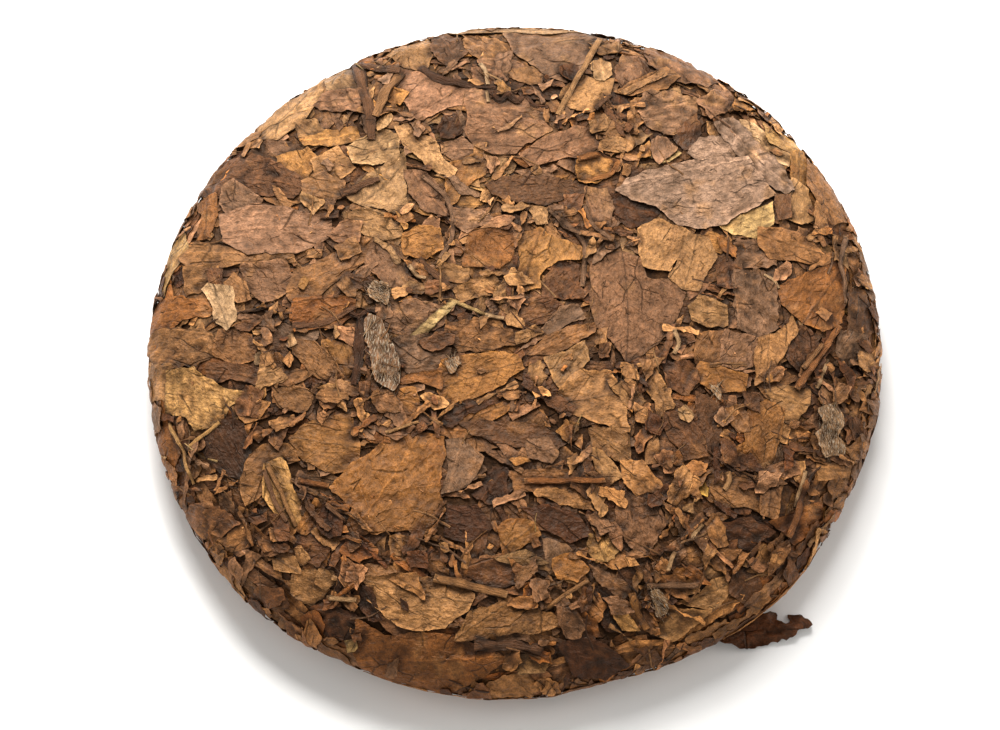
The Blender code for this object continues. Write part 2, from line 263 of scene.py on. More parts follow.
# tones, listed by name (red, green, blue as seen on a screen)
tones = {
    "mauve": (115, 89, 72),
    "rosy": (130, 102, 86),
    "paleMauve": (131, 113, 105),
    "plum": (88, 63, 45),
    "black": (65, 42, 25),
    "brown": (123, 93, 65),
    "rust": (123, 84, 48),
    "tan": (146, 115, 83),
    "paleTan": (153, 125, 95),
    "gold": (141, 106, 66),
    "amber": (128, 96, 60),
    "ochre": (178, 148, 105),
    "cream": (168, 147, 124),
    "olive": (167, 149, 112),
    "yellow": (196, 164, 66),
    "grey": (111, 89, 75),
    "silver": (136, 114, 94),
}
toneStrength = (0.94, 0.752, 0.528)


def toneColour(name):
    screenWhite, screenGamma = 255, 2.2
    return np.array([(c / screenWhite) ** screenGamma for c in tones[name]]) * np.array(toneStrength)


# painted light: the front of the crown is painted darker and redder than the back, the back lighter and paler
# as if in sheen, and the rim at the back darker as if in shade
paintedFrontBackLight = {"front": (0.88, 0.80, 0.68), "back": (1.18, 1.23, 1.32), "reach": 80.0, "rimFrom": 70.0,
          "rimDepth": 20.0, "rimShade": 0.26}


def paintedLightAt(y):
    share = min(max(0.5 + 0.5 * y / paintedFrontBackLight["reach"], 0.0), 1.0)
    rim = min(max((y - paintedFrontBackLight["rimFrom"]) / paintedFrontBackLight["rimDepth"], 0.0), 1.0)
    tone = np.array(paintedFrontBackLight["front"]) * (1 - share) + np.array(paintedFrontBackLight["back"]) * share
    return tone * (1 - paintedFrontBackLight["rimShade"] * rim)


# how each sort of leaf lies: torn edge, wrinkles, folds beside the rib, lifted edge
looks = {
    "broad": {"tear": 0.3, "wave": 0.5, "wrinkle": 0.3, "fold": 0.12, "rib": 0.2, "curl": 0.5,
              "tilt": 0.25},
    "flat": {"tear": 0.25, "wave": 0.4, "wrinkle": 0.22, "fold": 0.08, "rib": 0.1, "curl": 0.4,
             "tilt": 0.2},
    "crumpled": {"tear": 0.4, "wave": 0.45, "wrinkle": 0.8, "fold": 0.3, "rib": 0.2, "curl": 0.45,
                 "tilt": 0.35},
    "ragged": {"tear": 0.6, "wave": 0.5, "wrinkle": 0.6, "fold": 0.2, "rib": 0.1, "curl": 0.5,
               "tilt": 0.35},
    "pressed": {"tear": 0.25, "wave": 0.35, "wrinkle": 0.2, "fold": 0.06, "rib": 0.05, "curl": 0.05,
                "tilt": 0.1},
}

leafThickness = 0.24

# the tone that shows where a leaf is rubbed or stained
wornTones = {"mauve": "tan", "rosy": "mauve", "paleMauve": "tan", "plum": "brown", "black": "plum",
             "brown": "mauve", "rust": "tan", "tan": "brown", "paleTan": "brown", "gold": "rust",
             "amber": "rust", "ochre": "brown", "cream": "gold", "olive": "ochre", "yellow": "olive",
             "grey": "brown", "silver": "grey"}
paleVeined = ("mauve", "rosy", "paleMauve", "plum", "grey", "black")


def newPile(name, under=False):
    return {"name": name, "under": under, "points": [], "faces": [], "tone": [], "map": [], "count": 0,
            "pieces": 0}


def addToPile(pile, points, faces, tone, leafMap):
    pile["points"].append(points)
    pile["faces"].append(faces + pile["count"])
    pile["tone"].append(tone)
    pile["map"].append(leafMap)
    pile["count"] += len(points)
    pile["pieces"] += 1


# how the outline of a leaf is torn: the size of its waves, tears and frays
tornEdge = {"wave": 4.6, "tear": 1.5, "fray": 0.7, "frayShare": 0.5}


def roughEdge(corners, look, draw, spacing, roundness=0.2):
    # split each side, then pull the points about like a torn edge
    points = []
    count = len(corners)
    for index in range(count):
        before, here = corners[index - 1], corners[index]
        after, beyond = corners[(index + 1) % count], corners[(index + 2) % count]
        steps = max(2, int(np.linalg.norm(after - here) / spacing))
        for step in range(steps):
            t = step / steps
            curve = 0.5 * (2 * here + (after - before) * t
                           + (2 * before - 5 * here + 4 * after - beyond) * t * t
                           + (3 * here - before - 3 * after + beyond) * t ** 3)
            straight = here + (after - here) * t
            points.append(curve * roundness + straight * (1 - roundness))
    points = np.array(points)
    sides = np.roll(points, -1, axis=0) - np.roll(points, 1, axis=0)
    normals = np.stack([sides[:, 1], -sides[:, 0]], axis=1)
    normals /= np.maximum(np.linalg.norm(normals, axis=1), 1e-6)[:, None]
    seed = newSeed(draw)
    x, y = points[:, 0], points[:, 1]
    push = look["wave"] * flatHills(x, y, tornEdge["wave"], seed)
    push = push + look["tear"] * flatHills(x, y, tornEdge["tear"], seed + 1)
    push = push + look["tear"] * tornEdge["frayShare"] * flatHills(x, y, tornEdge["fray"], seed + 2)
    return points + normals * push[:, None]


def newSeed(draw):
    return draw.randrange(10 ** 6)


def fillOutline(outline, inner):
    # triangles over an outline and the points inside it, all turned the same way
    tiny = 1e-6
    coords = [Vector(p) for p in outline] + [Vector(p) for p in inner]
    count = len(outline)
    loop = [(i, (i + 1) % count) for i in range(count)]
    vertices, _, faces, _, _, _ = geometry.delaunay_2d_cdt(coords, loop, [], 1, 1e-5)
    flat = np.array([(p.x, p.y) for p in vertices])
    faces = np.array([f[:3] for f in faces if len(f) == 3])
    if len(faces) < 2:
        return flat, None
    a, b, c = (flat[faces[:, i]] for i in range(3))
    turning = (b[:, 0] - a[:, 0]) * (c[:, 1] - a[:, 1]) - (b[:, 1] - a[:, 1]) * (c[:, 0] - a[:, 0])
    faces = np.where(turning[:, None] < 0, faces[:, ::-1], faces)
    return flat, faces[np.abs(turning) > tiny]


def closedSheet(faces, total):
    # the upper face, the same triangles below it, and the narrow walls between them
    edges = np.concatenate([faces[:, [0, 1]], faces[:, [1, 2]], faces[:, [2, 0]]])
    key = edges[:, 0] * total + edges[:, 1]
    opposite = edges[:, 1] * total + edges[:, 0]
    border = edges[~np.isin(key, opposite)]
    walls = np.concatenate([
        np.stack([border[:, 1], border[:, 0], border[:, 0] + total], axis=1),
        np.stack([border[:, 1], border[:, 0] + total, border[:, 1] + total], axis=1)])
    return np.concatenate([faces, faces[:, ::-1] + total, walls])


def pullTaut(ground, bridge):
    # a leaf spans the gaps under it and doesn't sink into them
    taut = spread(ground, bridge, np.maximum)
    for _ in range(3):
        taut = spread(taut, bridge + 1, None)
    return taut


# the relief of a leaf in mm: each wrinkle has a height, a size and a stretch across the
# leaf, and the folds slope away from the rib
leafRelief = {
    "swell": (0.5, 3.4, 1.6),
    "crumple": (0.55, 3.0, 1.5),
    "crumpleAlong": 0.8,
    "crumpleSharp": 1.6,
    "pucker": (0.3, 1.7, 1.4),
    "veinSlope": (0.5, 0.9),
    "veinGap": (3.0, 4.6),
    "veinWaver": (0.9, 6),
    "ribWidth": 0.5,
    "edgeReach": 1.5,
    "edgeLift": (0.15, 1.2, 5),
    "leastReach": 3.0,
    "bow": 0.006,
    "gap": (0.05, 0.04),
    "ribShifts": (0.0, 0.1, -0.5, 0.6, 1.2),
    "bridge": 1,
    "margin": 2.5,
}


def leafRise(u, v, x, y, inward, look, length, seed, draw):
    relief = leafRelief
    height, size, across = relief["swell"]
    rise = look["wrinkle"] * height * flatHills(u, v * across, size, seed)
    height, size, across = relief["crumple"]
    folded = np.abs(flatHills(u * relief["crumpleAlong"], v * across, size, seed + 1))
    rise = rise + look["wrinkle"] * height * (0.5 - relief["crumpleSharp"] * folded)
    height, size, across = relief["pucker"]
    rise = rise + look["wrinkle"] * height * flatHills(u, v * across, size, seed + 4)
    veinSlope, veinGap = draw.uniform(*relief["veinSlope"]), draw.uniform(*relief["veinGap"])
    waver, waverSize = relief["veinWaver"]
    chevron = u - np.abs(v) * veinSlope + waver * flatHills(u, v, waverSize, seed + 2)
    rise = rise + look["fold"] * (np.abs(np.remainder(chevron / veinGap, 1) - 0.5) * 3 - 0.75)
    rise = rise + look["rib"] * np.exp(-(v / relief["ribWidth"]) ** 2) * draw.choice((-1, 1, 1))
    slope = draw.uniform(0, 2 * math.pi)
    reach = max(relief["leastReach"], length)
    rise = rise + look["tilt"] * (u * math.cos(slope) + v * math.sin(slope)) / reach
    edge = np.clip(1 - inward / relief["edgeReach"], 0, 1) ** 2
    base, swing, size = relief["edgeLift"]
    lifted = np.clip(base + swing * flatHills(x, y, size, seed + 3), 0, swing)
    return rise + look["curl"] * edge * lifted


# the colour of a leaf: how much it differs from its tone, its stains and its rim, the painted light on its
# ridges and painted shade in its hollows, the painted shade on its lower face, and how large and from which
# of so many places, so far apart, it takes the pattern
leafShading = {
    "landmarkSpread": (0.95, 1.05),
    "litterSpread": (0.85, 1.15),
    "warmth": 0.05,
    "stains": ((1.0, 5.0), (0.6, 1.9)),
    "stainFrom": (0.1, 0.5),
    "stainSteep": 1.6,
    "stainShare": 0.5,
    "blotches": ((0.16, 7.5), (0.14, 1.6)),
    "rims": (-0.3, -0.2, 0.15, 0.3),
    "rimReach": 0.5,
    "ridgeLight": 0.4,
    "ridgeLimit": 0.6,
    "limits": (0.3, 1.6),
    "swapVeins": 0.25,
    "underneath": 0.6,
    "patternSize": (0.8, 1.3),
    "patternPlaces": (40, 50.0),
}


def leafColours(u, v, near, drop, toneName, bright, paintedLight, mark, seed, draw):
    rule = leafShading
    spreadOf = rule["landmarkSpread" if mark else "litterSpread"]
    tone = toneColour(toneName) * bright * draw.uniform(*spreadOf)
    worn = toneColour(wornTones[toneName]) * bright
    warm = draw.uniform(-rule["warmth"], rule["warmth"])
    tone = tone * np.array([1 + warm, 1, 1 - warm])
    # painted light from front to back
    tone, worn = tone * paintedLight, worn * paintedLight
    (large, largeSize), (small, smallSize) = rule["stains"]
    patch = large * flatHills(u, v, largeSize, seed + 5) + small * flatHills(u, v, smallSize, seed + 6)
    stained = np.clip((patch - draw.uniform(*rule["stainFrom"])) * rule["stainSteep"], 0, 1)
    stained = stained[:, None] * rule["stainShare"]
    colour = tone[None, :] * (1 - stained) + worn[None, :] * stained
    (large, largeSize), (small, smallSize) = rule["blotches"]
    shade = 1 + large * flatHills(u, v, largeSize, seed + 7) + small * flatHills(u, v, smallSize, seed + 8)
    rim = draw.choice(rule["rims"])
    shade = shade * (1 + rim * np.clip(1 - near / rule["rimReach"], 0, 1))
    # painted light and shade: where the leaf's relief rises it is painted lighter, where it dips darker
    shade = shade * (1 + rule["ridgeLight"] * np.clip(drop, -rule["ridgeLimit"], rule["ridgeLimit"]))
    colour = colour * np.clip(shade, *rule["limits"])[:, None]
    paleVeins = 1.0 if toneName in paleVeined else 0.0
    if draw.random() < rule["swapVeins"]:
        paleVeins = 1 - paleVeins
    return np.column_stack([colour, np.full(len(u), paleVeins)])


def layLeaf(pile, field, corners, toneName, lookName, draw, spacing=0.85, rib=None, lift=0.0,
            mark=0.0, bright=1.0, roundness=0.15):
    look = looks[lookName]
    corners = np.array(corners, dtype=float)
    area = 0.5 * np.sum(corners[:, 0] * np.roll(corners[:, 1], -1)
                        - np.roll(corners[:, 0], -1) * corners[:, 1])
    if area < 0:
        corners = corners[::-1]
    outline = roughEdge(corners, look, draw, spacing * 0.7, roundness)
    low, high, x, y = cutOut(field, outline, leafRelief["margin"])
    window = (slice(low[0], high[0] + 1), slice(low[1], high[1] + 1))
    ground = field["cells"][window]
    inward = signedDistance(x, y, outline)

    # the leaf's own directions: along its rib and across it
    middle = outline.mean(axis=0)
    spreadOut = (outline - middle).T @ (outline - middle)
    values, vectors = np.linalg.eigh(spreadOut)
    halfWidth, halfLength = (math.sqrt(value / len(outline)) * 2 for value in values)
    if rib is None:
        ahead = vectors[:, 1] * draw.choice((-1, 1))
        shift = draw.choice(leafRelief["ribShifts"]) * halfWidth
    else:
        start, end = np.array(rib[0], dtype=float), np.array(rib[1], dtype=float)
        ahead = (end - start) / np.linalg.norm(end - start)
        shift = 0.0
        middle = (start + end) / 2
    aside = np.array([-ahead[1], ahead[0]])
    bow = draw.uniform(-leafRelief["bow"], leafRelief["bow"])

    def leafPlace(px, py):
        u = (px - middle[0]) * ahead[0] + (py - middle[1]) * ahead[1]
        v = (px - middle[0]) * aside[0] + (py - middle[1]) * aside[1] - shift
        return u, v - bow * u * u

    u, v = leafPlace(x, y)
    seed = newSeed(draw)
    rise = leafRise(u, v, x, y, inward, look, halfLength, seed, draw)
    tautGap, leastGap = leafRelief["gap"]
    base = np.maximum(pullTaut(ground, leafRelief["bridge"]) + tautGap + rise + lift, ground + leastGap)
    inside = inward > 0
    field["cells"][window] = np.where(inside, np.maximum(base + leafThickness, ground), ground)
    if mark:
        field["taken"][window] = np.where(inside, mark, field["taken"][window])

    # points inside, on a staggered grid, and the outline itself
    rowStep, shakeShare, edgeGap = 0.866, 0.12, 0.5
    rows = np.arange(outline[:, 1].min(), outline[:, 1].max(), spacing * rowStep)
    columns = np.arange(outline[:, 0].min(), outline[:, 0].max(), spacing)
    gx, gy = np.meshgrid(columns, rows)
    gx = gx + (np.arange(len(rows)) % 2)[:, None] * spacing / 2
    shake = np.random.RandomState(seed).uniform(-shakeShare, shakeShare, (2,) + gx.shape) * spacing
    gx, gy = (gx + shake[0]).ravel(), (gy + shake[1]).ravel()
    keep = readField(field, inward, gx, gy, low) > spacing * edgeGap
    flat, faces = fillOutline(outline, zip(gx[keep], gy[keep]))
    if faces is None:
        return
    if field["under"]:
        faces = faces[:, ::-1]
    level, near, drop = (readField(field, cells, flat[:, 0], flat[:, 1], low)
                         for cells in (base, inward, rise))
    uTop, vTop = leafPlace(flat[:, 0], flat[:, 1])
    upper = np.column_stack([flat, level + leafThickness])
    lower = np.column_stack([flat, level])
    # the leaf's colour carries the painted light from front to back
    paintedLight = 1.0 if field["under"] else paintedLightAt(corners[:, 1].mean())
    colour = leafColours(uTop, vTop, np.clip(near, 0, 2), drop, toneName, bright, paintedLight, mark, seed, draw)
    size = draw.uniform(*leafShading["patternSize"])
    places, apart = leafShading["patternPlaces"]
    leafMap = np.stack([uTop, vTop], axis=1) * size + draw.randrange(places) * np.array([[apart, 0.0]])
    # painted shade: the face of each leaf that lies against the pile is a copy of its colour painted darker
    shadeBelow = leafShading["underneath"]
    addToPile(pile, np.concatenate([upper, lower]), closedSheet(faces, len(flat)),
              np.concatenate([colour, colour * np.array([shadeBelow, shadeBelow, shadeBelow, 1])]),
              np.concatenate([leafMap, leafMap]))


# how stems, rolled leaves and threads are shaped and shaded
tubeShape = {
    "step": 0.6,
    "leastSteps": 4,
    "waver": (0.25, 5),
    "swell": (0.12, 9),
    "creases": (0.7, 12, 2),
    "ridgeCount": 3,
    "stripe": (0.14, 1.3, 4),
    "spread": (0.92, 1.08),
    "endShade": 0.8,
}


def layTube(pile, field, path, radius, toneName, draw, sides=9, flat=0.8, ridges=0.06, twist=0.0,
            taper=0.7, endTone=None, sink=0.35, bright=1.0):
    # a stem, rolled leaf or thread along a bent path
    shape = tubeShape
    path = np.array(path, dtype=float)
    lengths = np.concatenate([[0], np.cumsum(np.linalg.norm(np.diff(path, axis=0), axis=1))])
    count = max(shape["leastSteps"], int(lengths[-1] / max(shape["step"], radius * shape["step"])))
    share = np.linspace(0, 1, count + 1)
    line = np.stack([np.interp(share * lengths[-1], lengths, path[:, i]) for i in (0, 1)], axis=1)
    for _ in range(3):
        line[1:-1] = (line[:-2] + 2 * line[1:-1] + line[2:]) / 4
    seed = newSeed(draw)
    waver, waverSize = shape["waver"]
    line = line + waver * np.stack([flatHills(line[:, 0], line[:, 1], waverSize, seed),
                                    flatHills(line[:, 0], line[:, 1], waverSize, seed + 1)], axis=1)
    ahead = np.gradient(line, axis=0)
    ahead /= np.linalg.norm(ahead, axis=1)[:, None]
    aside = np.stack([-ahead[:, 1], ahead[:, 0]], axis=1)
    swell, swellCount = shape["swell"]
    swelling = 1 + swell * flatHills(share * swellCount, share * 0, 1, seed + 2)
    width = radius * (1 - (1 - taper) * share) * swelling
    ground = readField(field, field["cells"], line[:, 0], line[:, 1])
    for _ in range(4):
        ground[1:-1] = np.maximum(ground[1:-1], (ground[:-2] + ground[2:]) / 2)
    centre = ground + width * flat * (1 - sink)
    angles = np.arange(sides) * 2 * math.pi / sides
    # the tube's colour carries the painted light from front to back, as on the leaves
    tone = toneColour(toneName) * bright * draw.uniform(*shape["spread"]) * paintedLightAt(path[:, 1].mean())
    ridge = 1 + ridges * np.cos(angles[None, :] * shape["ridgeCount"] + twist * share[:, None] * 2 * math.pi)
    crease, creasesAlong, creasesRound = shape["creases"]
    lengthwise, crosswise = np.meshgrid(share * creasesAlong, angles * creasesRound, indexing="ij")
    ridge = ridge + ridges * crease * flatHills(lengthwise, crosswise, 1, seed + 3)
    stripe, stripesRound, stripesAlong = shape["stripe"]
    points, colours, maps = [], [], []
    for index in range(count + 1):
        across = np.cos(angles) * width[index] * ridge[index]
        upward = np.sin(angles) * width[index] * ridge[index] * flat
        px = line[index, 0] + aside[index, 0] * across
        py = line[index, 1] + aside[index, 1] * across
        points.append(np.column_stack([px, py, centre[index] + upward]))
        striped = 1 + stripe * flatHills(angles * stripesRound, angles * 0 + share[index] * stripesAlong, 1,
                                         seed + 4)
        colours.append(tone[None, :] * striped[:, None])
        maps.append(np.stack([np.full(sides, share[index] * lengths[-1]), angles * width[index]], axis=1))

    # the two ends, cut across
    points.append(np.column_stack([line[:1], centre[:1]]))
    points.append(np.column_stack([line[-1:], centre[-1:]]))
    ends = toneColour(endTone) if endTone else tone * shape["endShade"]
    colours += [ends[None, :], ends[None, :]]
    maps += [np.zeros((1, 2)), np.zeros((1, 2))]
    if endTone:
        colours[0] = colours[0] * 0.5 + ends * 0.5
        colours[count] = colours[count] * 0.5 + ends * 0.5
    faces = []
    first, last = (count + 1) * sides, (count + 1) * sides + 1
    for side in range(sides):
        after = (side + 1) % sides
        faces.append((first, after, side))
        faces.append((last, count * sides + side, count * sides + after))
        for index in range(count):
            a, b = index * sides + side, index * sides + after
            faces += [(a, b, b + sides), (a, b + sides, a + sides)]
    colours = np.concatenate(colours)
    colours = np.column_stack([colours, np.zeros(len(colours))])
    addToPile(pile, np.concatenate(points), np.array(faces), colours, np.concatenate(maps))

    low, high, x, y = cutOut(field, line, radius + 1)
    window = (slice(low[0], high[0] + 1), slice(low[1], high[1] + 1))
    for index in range(count + 1):
        away = (x - line[index, 0]) ** 2 + (y - line[index, 1]) ** 2
        top = centre[index] + flat * np.sqrt(np.clip(width[index] ** 2 - away, 0, None))
        field["cells"][window] = np.where(away < width[index] ** 2,
                                          np.maximum(field["cells"][window], top), field["cells"][window])


# the plans of leaves drawn by rule, as shares of their length and width
leafPlans = {
    "whole": {"shares": (0, 0.14, 0.34, 0.58, 0.8, 0.93, 1), "spread": (0.85, 1.1),
              "fullness": (0.05, 0.55, 0.95, 1, 0.68, 0.32, 0.02)},
    "strip": {"shares": (0, 0.25, 0.5, 0.75, 1), "spread": (0.6, 1.15)},
    "shard": {"corners": (3, 4, 4, 5, 6), "swing": 0.28, "away": (0.7, 1.2), "cutOften": 0.35,
              "cut": (0.15, 0.35)},
    "bend": 0.12,
}


def leafCorners(middle, length, width, turn, sort, draw):
    # corners of one leaf: whole leaves have two pointed ends, shards have torn corners
    plan = leafPlans[sort]
    sides = []
    if sort == "shard":
        count = draw.choice(plan["corners"])
        start = draw.uniform(0, 2 * math.pi)
        for index in range(count):
            angle = start + 2 * math.pi * (index + draw.uniform(-plan["swing"], plan["swing"])) / count
            sides.append(polar(draw.uniform(*plan["away"]) / 2, angle))
        if draw.random() < plan["cutOften"]:
            # one straight torn side
            cut = draw.uniform(*plan["cut"])
            sides = [(min(u, cut), v) for u, v in sides]
    else:
        fullness = plan.get("fullness", [1] * len(plan["shares"]))
        right = [(s - 0.5, -f / 2 * draw.uniform(*plan["spread"])) for s, f in zip(plan["shares"], fullness)]
        left = [(s - 0.5, f / 2 * draw.uniform(*plan["spread"])) for s, f in zip(plan["shares"], fullness)]
        if sort == "whole":
            left = left[1:-1]
        sides = right + left[::-1]
    bend = draw.uniform(-leafPlans["bend"], leafPlans["bend"])
    corners = []
    for u, v in sides:
        along, across = u * length, v * width + bend * length * (0.25 - u * u)
        corners.append((middle[0] + along * math.cos(turn) - across * math.sin(turn),
                        middle[1] + along * math.sin(turn) + across * math.cos(turn)))
    return corners


def polar(away, angle):
    return away * math.cos(angle), away * math.sin(angle)


def pickTone(draw, mix):
    names = list(mix)
    return draw.choices(names, [mix[name] for name in names])[0]


def stretchRim(corners):
    # the flat map is wider than the real rim, so leaves there are drawn wider on it
    middle = np.mean(np.array(corners), axis=0)
    away = float(np.hypot(*middle))
    real = float(np.interp(away, section["along"], section["radius"]))
    share = max(1.0, away / max(real, 1.0))
    radial = middle / max(away, 1e-6)
    aside = np.array([-radial[1], radial[0]])
    changed = []
    for corner in corners:
        offset = np.array(corner) - middle
        changed.append(middle + radial * (offset @ radial) + aside * (offset @ aside) * share)
    return changed


